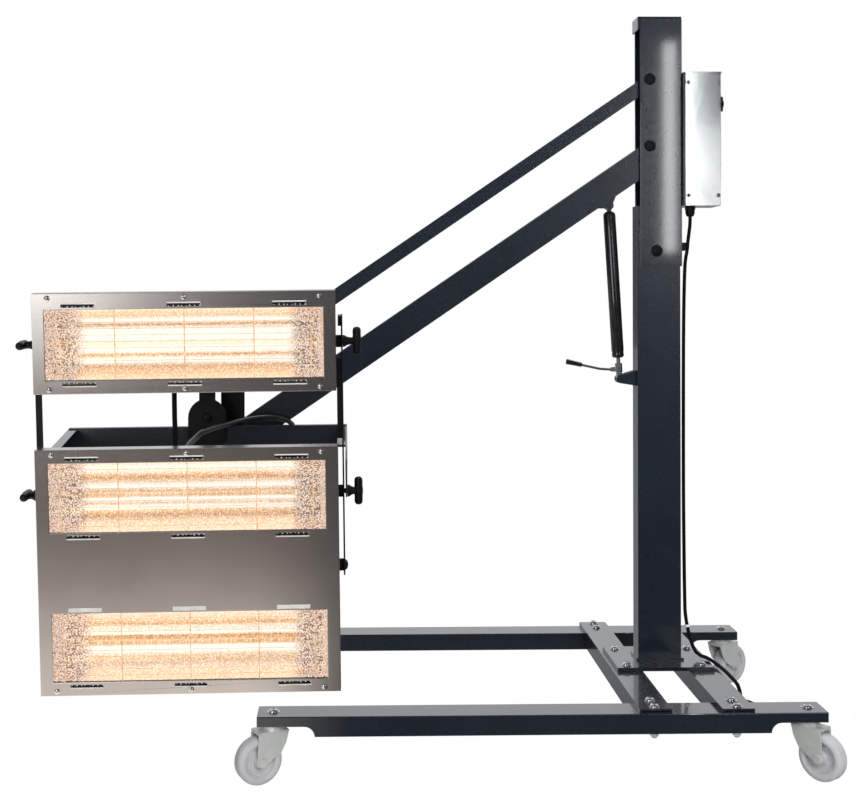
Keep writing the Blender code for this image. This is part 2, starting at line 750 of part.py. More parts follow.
def build_channel(root):
    """Upper channel that carries both arm pivots, with its cap."""
    outline = [(CHANNEL_LEFT, -CHANNEL_OUTER), (WEB_OUTER, -CHANNEL_OUTER),
               (WEB_OUTER, CHANNEL_OUTER), (CHANNEL_LEFT, CHANNEL_OUTER),
               (CHANNEL_LEFT, CHANNEL_INNER), (WEB_INNER, CHANNEL_INNER),
               (WEB_INNER, -CHANNEL_INNER), (CHANNEL_LEFT, -CHANNEL_INNER)]
    channel = plate(outline, CHANNEL_BOTTOM, CHANNEL_TOP, "Z")
    reach = CHANNEL_OUTER + OVERRUN
    holes = [cross_hole(PIVOT_X, LOWER_PIVOT_Z, PIVOT_RADIUS + GAP, reach),
             cross_hole(PIVOT_X, LOWER_PIVOT_Z + PIVOT_SPACING, PIVOT_RADIUS + GAP, reach),
             cross_hole(FIXING_BOLT_X, FIXING_BOLT_Z, FIXING_BOLT_RADIUS + GAP, reach)]
    part(cut(channel, *holes), "mast_channel", PAINT, root)
    lip_right = CHANNEL_LEFT - GAP
    top = CHANNEL_TOP + GAP
    cover = block((lip_right - CAP_LIP_THICKNESS, -CHANNEL_OUTER, top),
                  (WEB_OUTER, CHANNEL_OUTER, top + CAP_THICKNESS))
    lip = block((lip_right - CAP_LIP_THICKNESS, -CHANNEL_OUTER, top - CAP_LIP_HEIGHT),
                (lip_right, CHANNEL_OUTER, top + UNION_DEPTH))
    part(joined(cover, lip), "mast_cap", BLACK, root)


def build_bolts(root):
    """Through bolts of the channel, each turned in one piece with a dome at both ends."""
    seat = CHANNEL_OUTER + GAP
    for name, x, z, radius in (
            ("upper_pivot_bolt", PIVOT_X, LOWER_PIVOT_Z + PIVOT_SPACING, PIVOT_RADIUS),
            ("lower_pivot_bolt", PIVOT_X, LOWER_PIVOT_Z, PIVOT_RADIUS),
            ("channel_bolt", FIXING_BOLT_X, FIXING_BOLT_Z, FIXING_BOLT_RADIUS)):
        half = [(r, seat + h) for r, h in dome_profile(DOME_RADIUS, DOME_HEIGHT)]
        half.append((radius, seat))
        profile = half + [(r, -h) for r, h in reversed(half)]
        part(turned(profile, (x, 0, z), (x, 1, z)), name, ZINC, root)


def build_control_box(root):
    """Back plate, stainless cover, timer, switches, gland and cable clip."""
    plate_right = BOX_LEFT + BOX_PLATE_THICKNESS
    back = block((BOX_LEFT, -BOX_HALF_DEPTH, BOX_BOTTOM), (plate_right, BOX_HALF_DEPTH, BOX_TOP))
    part(back, "control_box_plate", BLACK, root)
    left = plate_right + GAP
    cover = block((left, -BOX_HALF_DEPTH, BOX_BOTTOM), (BOX_RIGHT, BOX_HALF_DEPTH, BOX_TOP))
    lid = block((left, -BOX_HALF_DEPTH, BOX_TOP - BOX_LID_HEIGHT),
                (BOX_RIGHT + BOX_LID_OVERHANG, BOX_HALF_DEPTH, BOX_TOP + UNION_DEPTH))
    half_beacon = BOX_BEACON_WIDTH / 2
    beacon = block((BOX_BEACON_X - half_beacon, -half_beacon, BOX_TOP),
                   (BOX_BEACON_X + half_beacon, half_beacon, BOX_TOP + BOX_BEACON_HEIGHT))
    core = block((left - OVERRUN, BOX_SHEET - BOX_HALF_DEPTH, BOX_BOTTOM + BOX_SHEET),
                 (BOX_RIGHT - BOX_SHEET, BOX_HALF_DEPTH - BOX_SHEET, BOX_TOP - BOX_SHEET))
    screws = []
    for x in (left + BOX_SCREW_INSET_X, BOX_RIGHT - BOX_SCREW_INSET_X):
        for z in (BOX_BOTTOM + BOX_SCREW_INSET_Z, BOX_TOP - BOX_SCREW_INSET_Z):
            screws.append(dome((x, -BOX_HALF_DEPTH, z), (0, -1, 0), BOX_SCREW_RADIUS,
                               BOX_SCREW_HEIGHT))
    part(cut(joined(cover, lid, beacon, *screws), core), "control_box_cover", STAINLESS, root)
    face = BOX_RIGHT + GAP
    timer_axis = empty("timer_axis", root, (face, 0, TIMER_Z))
    profile = [(0, TIMER_HEIGHT), (TIMER_RADIUS / 2, TIMER_HEIGHT),
               (TIMER_RADIUS * TIMER_NECK_SHARE, TIMER_HEIGHT * TIMER_SKIRT_SHARE),
               (TIMER_RADIUS, TIMER_HEIGHT * TIMER_RIM_SHARE),
               (TIMER_RADIUS, 0), (0, 0)]
    part(turned(profile, (0, 0, 0), (1, 0, 0)), "timer_knob", BLACK, timer_axis)
    for i in range(SWITCH_COUNT):
        z = SWITCH_TOP_Z - i * SWITCH_PITCH
        axis = empty("switch_axis_%d" % (i + 1), root, (face + SWITCH_DEPTH / 2, 0, z))
        back_x = -SWITCH_DEPTH / 2
        half = SWITCH_HEIGHT / 2
        lean = half * SWITCH_LEAN_SHARE
        outline = [(back_x + lean, -half), (back_x, 0), (back_x + lean, half),
                   (-back_x, half), (-back_x - SWITCH_BOW, 0), (-back_x, -half)]
        part(plate(outline, -SWITCH_WIDTH / 2, SWITCH_WIDTH / 2, "Y"),
             "lamp_switch_%d" % (i + 1), BLACK, axis)
    top = BOX_BOTTOM - GAP
    profile = [(0, 0), (GLAND_RADIUS, 0), (GLAND_RADIUS, -GLAND_LENGTH / 2),
               (GLAND_NECK_RADIUS, -GLAND_LENGTH * GLAND_NUT_SHARE), (GLAND_NECK_RADIUS, -GLAND_LENGTH),
               (0, -GLAND_LENGTH)]
    part(turned(profile, (GLAND_X, 0, top), (GLAND_X, 0, top + GLAND_LENGTH)),
         "cable_gland", BLACK, root)
    clip_left = WEB_OUTER + GAP
    part(block((clip_left, -CLIP_HALF, CLIP_BOTTOM),
               (clip_left + CLIP_REACH, CLIP_HALF, CLIP_BOTTOM + CLIP_HEIGHT)),
         "cable_clip", BLACK, root)


def coil_points():
    """Turns of the coil from the plug's side up to the layer where the mains cable lands."""
    per_layer = COIL_TURNS * LOOP_POINTS
    total = COIL_LAYERS * per_layer - round(COIL_LAST_SHARE * LOOP_POINTS)
    climb = LOOP_POINTS / 4
    points = []
    for i in range(total + 1):
        layer, step = divmod(i, per_layer)
        inward = COIL_PITCH * step / LOOP_POINTS
        if layer % 2:
            inward = COIL_PITCH * COIL_TURNS - inward
        rise = layer
        if step < climb and layer > 0:
            rise -= (climb - step) / (2 * climb)
        elif per_layer - step < climb and layer < COIL_LAYERS - 1:
            rise += (climb - (per_layer - step)) / (2 * climb)
        angle = COIL_START + 2 * math.pi * i / LOOP_POINTS
        radius = COIL_OUTER - inward
        points.append(Vector((COIL_X + radius * math.cos(angle), COIL_Y + radius * math.sin(angle),
                              FLOOR_Z + CABLE_RADIUS + GAP + rise * COIL_PITCH)))
    return points


def least_gap(points, radius):
    """Least distance between parts of a cord that are half a turn or more apart."""
    least = math.inf
    for i, point in enumerate(points):
        for j in range(i + LOOP_POINTS // 2, len(points) - 1):
            line = points[j + 1] - points[j]
            share = max(0, min(1, (point - points[j]).dot(line) / line.length_squared))
            least = min(least, (point - points[j] - line * share).length)
    return least - 2 * radius


def build_mains(root):
    """Mains cable, its tie, its coil on the floor and the plug."""
    turns = coil_points()
    straight = 2 * CABLE_RADIUS
    plug_mouth = Vector((PLUG_X + PLUG_BOOT_LENGTH + GAP, PLUG_Y, PLUG_Z))
    start = turns[0]
    tail = [plug_mouth, plug_mouth + Vector((straight, 0, 0)),
            plug_mouth.lerp(start, TAIL_SAG_SHARE) + Vector((0, 0, -CABLE_RADIUS / 2)),
            start - Vector((straight, 0, 0))]
    tail = smooth_route(tail, straight * TAIL_STRAIGHT_SHARE)
    leaving = (turns[-1] - turns[-2]).normalized()
    leaving.z = 0
    coil_end = turns[-1] + leaving * straight
    coil = tail + turns + [coil_end]
    part(cord_curve("mains_cable_coil", coil, CABLE_RADIUS, 1, WORKSHOP), "mains_cable_coil",
         RUBBER, root)
    print("coil least gap %.2f mm" % (least_gap(coil, CABLE_RADIUS) * 1000))
    gland_mouth = Vector((GLAND_X, 0, BOX_BOTTOM - 2 * GAP - GLAND_LENGTH))
    landing = coil_end + leaving * GAP
    route = [gland_mouth, gland_mouth - Vector((0, 0, straight))]
    route += [Vector(point) for point in CABLE_ROUTE]
    route += [landing + leaving * straight, landing]
    points = smooth_route(route, CABLE_SPACING)
    part(cord_curve("mains_cable", points, CABLE_RADIUS, 2, WORKSHOP), "mains_cable", RUBBER, root)
    length = sum((b - a).length for a, b in zip(points, points[1:]))
    length += sum((b - a).length for a, b in zip(coil, coil[1:]))
    print("mains cable %.2f m" % length)
    near = min(range(1, len(points) - 1), key=lambda i: abs(points[i].z - TIE_Z))
    line = (points[near + 1] - points[near]).normalized()
    middle = (points[near] + points[near + 1]) / 2
    inner = CABLE_RADIUS + RUNNING_GAP
    outer = inner + TIE_THICKNESS
    half = TIE_HEIGHT / 2
    ring = turned([(inner, half), (outer, half), (outer, -half), (inner, -half), (inner, half)],
                  middle, middle + line, SMALL_SIDES)
    part(ring, "cable_tie", PALE, root)
    back = PLUG_X - PLUG_LENGTH
    body = rod((PLUG_X, PLUG_Y, PLUG_Z), (back, PLUG_Y, PLUG_Z),
               PLUG_RADIUS)
    boot = rod((PLUG_X - UNION_DEPTH, PLUG_Y, PLUG_Z),
               (PLUG_X + PLUG_BOOT_LENGTH, PLUG_Y, PLUG_Z), PLUG_BOOT_RADIUS,
               SMALL_SIDES)
    pins = [rod((back + UNION_DEPTH, PLUG_Y + side * PLUG_PIN_SPREAD, PLUG_Z),
                (back - PLUG_PIN_LENGTH, PLUG_Y + side * PLUG_PIN_SPREAD, PLUG_Z),
                PLUG_PIN_RADIUS, SMALL_SIDES) for side in (-1, 1)]
    part(joined(body, boot, *pins), "mains_plug", BLACK, root)


def build_casters(root):
    """Four swivel casters, each a fork and a wheel."""
    axle_z = WHEEL_RADIUS - CASTER_HEIGHT
    for spot, x_side, y_side, trail in CASTER_SPOTS:
        x = RAIL_LEFT + CASTER_INSET if x_side < 0 else RAIL_RIGHT - CASTER_INSET
        swivel = empty("caster_%s_swivel" % spot, root, (x, y_side * RAIL_SPREAD, SEAT_Z),
                       (0, 0, math.radians(trail)))
        bearing = rod((0, 0, -FORK_CROWN_TOP - UNION_DEPTH), (0, 0, -GAP), BEARING_RADIUS)
        outer = FORK_HALF + FORK_SHEET
        crown_bottom = -FORK_CROWN_TOP - FORK_CROWN_THICKNESS
        crown_half = FORK_HALF + FORK_SHEET / 2
        crown = block((UNION_DEPTH - FORK_CROWN_BACK, -crown_half, crown_bottom),
                      (FORK_CROWN_FRONT - UNION_DEPTH, crown_half, -FORK_CROWN_TOP))
        leg_top = -FORK_CROWN_TOP - UNION_DEPTH
        outline = [(-FORK_CROWN_BACK, leg_top), (FORK_CROWN_FRONT, leg_top)]
        outline += arc((CASTER_TRAIL, axle_z), FORK_BOSS, 30, -150, 5)
        outline += [(forward - FORK_CROWN_BACK, leg_top - drop) for forward, drop in FORK_BACK_BEND]
        legs = [plate(outline, FORK_HALF, outer, "Y"), plate(outline, -outer, -FORK_HALF, "Y")]
        axle = cross_hole(CASTER_TRAIL, axle_z, AXLE_RADIUS, outer)
        heads = [rod((CASTER_TRAIL, side * (outer - UNION_DEPTH), axle_z),
                     (CASTER_TRAIL, side * (outer + AXLE_HEAD_HEIGHT), axle_z),
                     AXLE_HEAD_RADIUS, SMALL_SIDES) for side in (-1, 1)]
        part(joined(crown, bearing, *legs, axle, *heads), "caster_fork_%s" % spot, ZINC, swivel)
        wheel_axis = empty("caster_%s_axle" % spot, swivel, (CASTER_TRAIL, 0, axle_z))
        bore = AXLE_RADIUS + GAP
        shoulder = WHEEL_HALF - WHEEL_ROUNDING
        tread = arc((WHEEL_RADIUS - WHEEL_ROUNDING, shoulder), WHEEL_ROUNDING, 90, 0, 2)
        half_profile = [(bore, WHEEL_HALF), (HUB_RADIUS, WHEEL_HALF), (HUB_RADIUS, RIM_HALF),
                        (RIM_RADIUS, RIM_HALF), (RIM_RADIUS, WHEEL_HALF)] + tread
        profile = half_profile + [(radius, -height) for radius, height in reversed(half_profile)]
        wheel = turned(profile + [profile[0]], (0, 0, 0), (0, 1, 0))
        part(wheel, "caster_wheel_%s" % spot, TYRE, wheel_axis)


def slope_place(x, z):
    """Place in the mast's XZ plane, as seen from the sloping lower arm's frame."""
    dx = x - PIVOT_X
    dz = z - LOWER_PIVOT_Z
    return (dx * math.cos(ARM_SLOPE) + dz * math.sin(ARM_SLOPE),
            dz * math.cos(ARM_SLOPE) - dx * math.sin(ARM_SLOPE))


def arm_solid(outline, half_width, hollow_low, hollow_high, bores_at):
    """Arm of a square tube, open at the mast end, with a bush at each pivot."""
    arm = plate(outline, -half_width, half_width, "Y")
    hollow = block(hollow_low, hollow_high)
    bush_half = CHANNEL_INNER - GAP
    bushes = [cross_hole(x, 0, BUSH_RADIUS, bush_half) for x in bores_at]
    arm = joined(cut(arm, hollow), *bushes)
    return cut(arm, *[cross_hole(x, 0, PIVOT_RADIUS + GAP, CHANNEL_OUTER) for x in bores_at])


def build_arms(root):
    """Upper and lower arm of the parallelogram; both frames lie along the arms."""
    lower = empty("lower_arm_axis", root, (PIVOT_X, 0, LOWER_PIVOT_Z), (0, -ARM_SLOPE, 0))
    upper = empty("upper_arm_axis", root, (PIVOT_X, 0, LOWER_PIVOT_Z + PIVOT_SPACING),
                  (0, -ARM_SLOPE, 0))
    half = UPPER_ARM_SIZE / 2
    middle = -UPPER_ARM_DROP
    outline = [(half, middle + half), (half, middle - half)]
    outline += arc((-ARM_LENGTH, middle), half, 270, 90, 10)
    core = half - UPPER_ARM_WALL
    arm = arm_solid(outline, half, (ARM_SOLID_END - ARM_LENGTH, -core, middle - core),
                    (half + OVERRUN, core, middle + core), (0, -ARM_LENGTH))
    part(arm, "upper_arm", PAINT, upper)
    bottom = LOWER_ARM_RISE - LOWER_ARM_DEPTH
    knee = NOSE_LENGTH - ARM_LENGTH
    reach = math.hypot(NOSE_LENGTH, bottom)
    first = 180 - math.degrees(math.asin(LOWER_ARM_RISE / NOSE_RADIUS))
    last = 360 + math.degrees(math.atan2(bottom, NOSE_LENGTH) - math.acos(NOSE_RADIUS / reach))
    outline = [(LOWER_ARM_TAIL, bottom), (LOWER_ARM_TAIL, LOWER_ARM_RISE)]
    outline += arc((-ARM_LENGTH, 0), NOSE_RADIUS, first, last, 8)
    outline += [(knee, bottom)]
    half = LOWER_ARM_WIDTH / 2
    arm = arm_solid(outline, half,
                    (knee, LOWER_ARM_WALL - half, bottom + LOWER_ARM_WALL),
                    (LOWER_ARM_TAIL + OVERRUN, half - LOWER_ARM_WALL,
                     LOWER_ARM_RISE - LOWER_ARM_WALL), (0, -ARM_LENGTH))
    eye_x, eye_z = slope_place(STRUT_EYE_X, STRUT_EYE_Z)
    outline = [(eye_x + EYE_CHEEK_LENGTH / 2, bottom + UNION_DEPTH),
               (eye_x - EYE_CHEEK_LENGTH / 2, bottom + UNION_DEPTH)]
    outline += arc((eye_x, eye_z), STRUT_CHEEK_RADIUS, 180, 360, 8)
    outer = STRUT_CHEEK_INNER + STRUT_CHEEK
    cheeks = [plate(outline, STRUT_CHEEK_INNER, outer, "Y"),
              plate(outline, -outer, -STRUT_CHEEK_INNER, "Y")]
    pin = cross_hole(eye_x, eye_z, EYE_PIN_RADIUS, outer + UNION_DEPTH)
    part(joined(arm, *cheeks, pin), "lower_arm", PAINT, lower)
    return lower


def build_knuckle(lower_arm):
    """Upright channel at the head end of the arms, with both pins and a lead gland."""
    knuckle = empty("knuckle_axis", lower_arm, (-ARM_LENGTH, 0, 0), (0, ARM_SLOPE, 0))
    left = -KNUCKLE_PIN_INSET
    right = KNUCKLE_WIDTH - KNUCKLE_PIN_INSET
    inner_left = left + CHANNEL_WALL
    outline = [(left, -CHANNEL_OUTER), (right, -CHANNEL_OUTER), (right, -CHANNEL_INNER),
               (inner_left, -CHANNEL_INNER), (inner_left, CHANNEL_INNER),
               (right, CHANNEL_INNER), (right, CHANNEL_OUTER), (left, CHANNEL_OUTER)]
    body = plate(outline, -KNUCKLE_DROP, PIVOT_SPACING + KNUCKLE_RISE, "Z")
    pieces = []
    for z in (0, PIVOT_SPACING):
        pieces.append(cross_hole(0, z, PIVOT_RADIUS, CHANNEL_OUTER + UNION_DEPTH))
        for side in (-1, 1):
            pieces.append(rod((0, side * (CHANNEL_OUTER - UNION_DEPTH), z),
                              (0, side * (CHANNEL_OUTER + KNUCKLE_HEAD_HEIGHT), z),
                              KNUCKLE_HEAD_RADIUS))
    gland_y = -CHANNEL_OUTER - LEAD_GLAND_OFFSET
    gland_z = LEAD_GLAND_Z - head_end()[1]
    gland_x = LEAD_GLAND_X - head_end()[0]
    pieces.append(rod((gland_x, gland_y, gland_z), (gland_x - LEAD_GLAND_LENGTH, gland_y, gland_z),
                      LEAD_GLAND_RADIUS))
    bracket = LEAD_GLAND_RADIUS * GLAND_BRACKET_SHARE
    pieces.append(block((gland_x - LEAD_GLAND_LENGTH, gland_y, gland_z - bracket),
                        (gland_x, UNION_DEPTH - CHANNEL_OUTER, gland_z + bracket)))
    part(joined(body, *pieces), "knuckle", PAINT, knuckle)
    return knuckle


def head_end():
    """World X and Z of the lower arm's pin at the knuckle, at rest."""
    return (PIVOT_X - ARM_LENGTH * math.cos(ARM_SLOPE),
            LOWER_PIVOT_Z - ARM_LENGTH * math.sin(ARM_SLOPE))


def build_pivot_plate(knuckle):
    """Bell-shaped plate on the knuckle, with the pin that carries the yoke."""
    end_x, end_z = head_end()
    centre_x = HEAD_X - end_x
    centre_z = ROLL_Z - end_z
    back = CROSSBAR_FRONT - GAP
    front = back - BELL_THICKNESS
    half_neck = NECK_WIDTH / 2
    shoulder = math.degrees(math.acos(half_neck / BELL_RADIUS))
    corner = BELL_RADIUS * BELL_CORNER_SHARE
    top = NECK_TOP - end_z
    bottom = centre_z - BELL_DROP
    outline = arc((centre_x - BELL_RADIUS + corner, bottom + corner), corner, 180, 270, 4)
    outline += arc((centre_x + BELL_RADIUS - corner, bottom + corner), corner, 270, 360, 4)
    outline += arc((centre_x, centre_z), BELL_RADIUS, 0, shoulder, 5)
    outline += [(centre_x + half_neck, top), (centre_x - half_neck, top)]
    outline += arc((centre_x, centre_z), BELL_RADIUS, 180 - shoulder, 180, 5)
    bell = plate(outline, front, back, "Y")
    spine = block((centre_x - half_neck, back - UNION_DEPTH, BELL_SPINE_BOTTOM - end_z),
                  (BELL_SPINE_RIGHT - end_x, -CHANNEL_OUTER - GAP, top))
    crossbar_back = CROSSBAR_FRONT + CROSSBAR_DEPTH
    pin_end = crossbar_back + GAP + ROLL_HEAD_HEIGHT
    pin = rod((centre_x, front, centre_z), (centre_x, pin_end, centre_z), ROLL_PIN_RADIUS)
    nut = rod((centre_x, crossbar_back + GAP, centre_z), (centre_x, pin_end, centre_z),
              ROLL_HEAD_RADIUS)
    head = dome((centre_x, front, centre_z), (0, -1, 0), ROLL_PIN_RADIUS + UNION_DEPTH,
                ROLL_HEAD_HEIGHT, ROUND_SIDES)
    part(joined(bell, spine, pin, nut, head), "pivot_plate", PAINT, knuckle)


def build_strut(lower_arm):
    """Gas strut between the lower arm and the mast, with its release lever."""
    turn = math.atan2(STRUT_EYE_X - STRUT_FOOT_X, STRUT_EYE_Z - STRUT_FOOT_Z)
    length = math.hypot(STRUT_EYE_X - STRUT_FOOT_X, STRUT_EYE_Z - STRUT_FOOT_Z)
    eye_x, eye_z = slope_place(STRUT_EYE_X, STRUT_EYE_Z)
    cylinder_axis = empty("strut_eye_axis", lower_arm, (eye_x, 0, eye_z),
                          (0, turn + ARM_SLOPE, 0))
    rod_axis = empty("strut_slide", cylinder_axis, (0, 0, -length))
    top = -CYLINDER_TOP_OFFSET
    bottom = top - CYLINDER_LENGTH
    soft = CYLINDER_ROUNDING
    profile = [(0, top), (CYLINDER_RADIUS - soft, top), (CYLINDER_RADIUS, top - soft),
               (CYLINDER_RADIUS, bottom + soft), (CYLINDER_RADIUS - soft, bottom), (0, bottom)]
    tube = turned(profile, (0, 0, 0), (0, 0, 1))
    eye = cross_hole(0, 0, STRUT_EYE_RADIUS, STRUT_EYE_HALF)
    stem = rod((0, 0, -EYE_PIN_RADIUS - RUNNING_GAP), (0, 0, top - UNION_DEPTH),
               STRUT_EYE_HALF - UNION_DEPTH)
    bore = rod((0, 0, bottom - OVERRUN), (0, 0, bottom + CYLINDER_BORE_LENGTH), ROD_RADIUS + GAP)
    eye_bore = cross_hole(0, 0, EYE_PIN_RADIUS + GAP, STRUT_CHEEK_INNER)
    part(cut(joined(tube, eye, stem), bore, eye_bore), "strut_cylinder", BLACK, cylinder_axis)
    shaft = rod((0, 0, COLLAR_OFFSET), (0, 0, ROD_LENGTH), ROD_RADIUS)
    collar = rod((0, 0, COLLAR_OFFSET), (0, 0, COLLAR_OFFSET + COLLAR_LENGTH), COLLAR_RADIUS)
    foot_eye = cross_hole(0, 0, STRUT_EYE_RADIUS, STRUT_EYE_HALF)
    foot_stem = rod((0, 0, 0), (0, 0, COLLAR_OFFSET + UNION_DEPTH), STRUT_EYE_HALF - UNION_DEPTH)
    lug = plate([(-COLLAR_RADIUS / 2, LEVER_LUG_Z - LEVER_LUG_HALF),
                 (-COLLAR_RADIUS / 2, LEVER_LUG_Z + LEVER_LUG_HALF)]
                + arc((LEVER_LUG_X, LEVER_LUG_Z), LEVER_LUG_HALF, 90, 270, 6),
                -LEVER_LUG_THICKNESS / 2, LEVER_LUG_THICKNESS / 2, "Y")
    lever_inner = LEVER_LUG_THICKNESS / 2 + GAP
    lever_outer = lever_inner + 2 * LEVER_RADIUS
    pin = rod((LEVER_LUG_X, 0, LEVER_LUG_Z), (LEVER_LUG_X, lever_outer + GAP, LEVER_LUG_Z),
              LEVER_PIN_RADIUS, SMALL_SIDES)
    part(joined(shaft, collar, foot_eye, foot_stem, lug, pin), "strut_rod", ZINC, rod_axis)
    lever_axis = empty("release_lever_axis", rod_axis, (LEVER_LUG_X, 0, LEVER_LUG_Z))
    y = lever_inner + LEVER_RADIUS
    lever_eye = rod((0, lever_inner, 0), (0, lever_outer, 0), LEVER_LUG_HALF, SMALL_SIDES)
    elbow = (-LEVER_REACH * LEVER_ELBOW_SHARE, y, LEVER_RISE * LEVER_ELBOW_SHARE / 2)
    tip = (-LEVER_REACH, y, LEVER_RISE)
    start = (-LEVER_PIN_RADIUS - LEVER_RADIUS / 2, y, 0)
    points = [start, elbow, tip]
    lever = joined(lever_eye, pipe(points, LEVER_RADIUS))
    hole = rod((0, 0, 0), (0, lever_outer + OVERRUN, 0), LEVER_PIN_RADIUS + GAP, SMALL_SIDES)
    part(cut(lever, hole), "release_lever", ZINC, lever_axis)
    heading = (Vector(tip) - Vector(elbow)).normalized()
    grip_start = Vector(tip) + heading * GAP
    grip = rod(grip_start, grip_start + heading * GRIP_LENGTH, GRIP_RADIUS * GRIP_TAPER_SHARE,
               SMALL_SIDES, GRIP_RADIUS)
    part(grip, "lever_grip", BLACK, lever_axis)


def build_yoke(knuckle):
    """Crossbar with a lug on the roll pin and two thin side plates."""
    end_x, end_z = head_end()
    yoke = empty("yoke_roll_axis", knuckle, (HEAD_X - end_x, 0, ROLL_Z - end_z),
                 (0, ROLL_ANGLE, 0))
    back = CROSSBAR_FRONT + CROSSBAR_DEPTH
    bar_top = CROSSBAR_HEIGHT - CROSSBAR_DROP
    side_inner = YOKE_HALF - YOKE_PLATE
    bar = block((-side_inner - UNION_DEPTH, CROSSBAR_FRONT, -CROSSBAR_DROP),
                (side_inner + UNION_DEPTH, back, bar_top))
    core = block((CROSSBAR_WALL - side_inner, CROSSBAR_FRONT + CROSSBAR_WALL,
                  CROSSBAR_WALL - CROSSBAR_DROP),
                 (side_inner - CROSSBAR_WALL, back - CROSSBAR_WALL, bar_top - CROSSBAR_WALL))
    drain = rod((side_inner / 2, (CROSSBAR_FRONT + back) / 2, -CROSSBAR_DROP - OVERRUN),
                (side_inner / 2, (CROSSBAR_FRONT + back) / 2, OVERRUN - CROSSBAR_DROP),
                DRAIN_RADIUS, SMALL_SIDES)
    lug = plate([(-LUG_RADIUS, bar_top - UNION_DEPTH), (LUG_RADIUS, bar_top - UNION_DEPTH)]
                + arc((0, 0), LUG_RADIUS, 0, 180, 12), CROSSBAR_FRONT, back, "Y")
    tilt_y = TILT_Y
    tilt_z = TILT_Z - ROLL_Z
    top_front = tilt_z + YOKE_TOP_FRONT
    outline = [(back, bar_top), (tilt_y - YOKE_NOSE, top_front)]
    outline += arc((tilt_y, tilt_z), YOKE_NOSE, 180, 270, 5)
    outline += bend((tilt_y + YOKE_NOSE / 2, tilt_z - YOKE_NOSE),
                    (tilt_y + YOKE_SWEEP, tilt_z - YOKE_NOSE), (back, -CROSSBAR_DROP), 8)[1:]
    slope = (bar_top - top_front) / (back - tilt_y + YOKE_NOSE)
    pieces = [lug]
    for side in (-1, 1):
        low, high = sorted((side * side_inner, side * YOKE_HALF))
        pieces.append(plate(outline, low, high, "X"))
        flange_back = CROSSBAR_FRONT + UNION_DEPTH
        flange_front = tilt_y + YOKE_FLANGE_START
        edge_back = bar_top + (flange_back - back) * slope
        edge_front = bar_top + (flange_front - back) * slope
        flange = [(flange_back, edge_back), (flange_front, edge_front),
                  (flange_front, edge_front - YOKE_PLATE), (flange_back, edge_back - YOKE_PLATE)]
        low, high = sorted((side * (YOKE_HALF - YOKE_FLANGE_WIDTH),
                            side * (side_inner + UNION_DEPTH)))
        pieces.append(plate(flange, low, high, "X"))
    reach = YOKE_HALF + OVERRUN
    stud_hole = KNOB_SHANK_RADIUS / math.cos(math.pi / SMALL_SIDES) + RUNNING_GAP
    holes = [cross_hole(0, 0, ROLL_PIN_RADIUS + GAP, -CROSSBAR_FRONT + OVERRUN),
             rod((-reach, tilt_y, tilt_z), (OVERRUN - side_inner, tilt_y, tilt_z), stud_hole,
                 SMALL_SIDES),
             rod((reach, tilt_y, tilt_z), (side_inner - OVERRUN, tilt_y, tilt_z), stud_hole,
                 SMALL_SIDES)]
    solid = joined(cut(bar, drain, core), *pieces)
    part(cut(solid, *holes), "yoke", PAINT, yoke)
    return yoke


def window_centres():
    """Heights of the three windows' middles: two in the lower cassette, one above."""
    half = WINDOW_HEIGHT / 2
    return (LOWER_PANEL_BOTTOM + LOWER_MARGIN + half, LOWER_PANEL_TOP - LOWER_MARGIN - half,
            UPPER_PANEL_TOP - UPPER_MARGIN - half)


def build_panel(name, half, bottom, top, windows, frame):
    """Stainless front tray with its windows, cooling slots and screws."""
    flange_back = PANEL_FRONT + PANEL_FLANGE
    tray = block((-half, PANEL_FRONT, bottom), (half, flange_back, top))
    cutters = [block((PANEL_SHEET - half, PANEL_FRONT + PANEL_SHEET, bottom + PANEL_SHEET),
                     (half - PANEL_SHEET, flange_back + OVERRUN, top - PANEL_SHEET))]
    near = PANEL_FRONT - OVERRUN
    far = PANEL_FRONT + PANEL_SHEET + OVERRUN
    for z in windows:
        cutters.append(block((-WINDOW_WIDTH / 2, near, z - WINDOW_HEIGHT / 2),
                             (WINDOW_WIDTH / 2, far, z + WINDOW_HEIGHT / 2)))
        for row in (-1, 1):
            middle = z + row * (WINDOW_HEIGHT / 2 + SLOT_OFFSET)
            for column in (-1, 0, 1):
                x = column * SLOT_PITCH
                cutters.append(block((x - SLOT_LENGTH / 2, near, middle - SLOT_HEIGHT / 2),
                                     (x + SLOT_LENGTH / 2, far, middle + SLOT_HEIGHT / 2)))
    screws = []
    for x in (-PANEL_SCREW_X, 0, PANEL_SCREW_X):
        for z in (bottom + PANEL_SCREW_INSET, top - PANEL_SCREW_INSET):
            screws.append(dome((x, PANEL_FRONT, z), (0, -1, 0), PANEL_SCREW_RADIUS,
                               PANEL_SCREW_HEIGHT))
    part(joined(cut(tray, *cutters), *screws), name, STAINLESS, frame)


def build_housing(name, half, bottom, top, frame, gland):
    """Black rear box that the tray closes; the lower one has the lead's gland."""
    front = PANEL_FRONT + PANEL_SHEET + GAP
    shell = block((-half, front, bottom), (half, HOUSING_BACK, top))
    core = block((HOUSING_WALL - half, front - OVERRUN, bottom + HOUSING_WALL),
                 (half - HOUSING_WALL, HOUSING_BACK - HOUSING_WALL, top - HOUSING_WALL))
    shell = cut(shell, core)
    if gland:
        shell = joined(shell, rod((HEAD_LEAD_EXIT_X, HOUSING_BACK - UNION_DEPTH, HEAD_LEAD_EXIT_Z),
                                  (HEAD_LEAD_EXIT_X, HOUSING_BACK + REAR_GLAND_LENGTH,
                                   HEAD_LEAD_EXIT_Z), REAR_GLAND_RADIUS))
    part(shell, name, BLACK, frame)


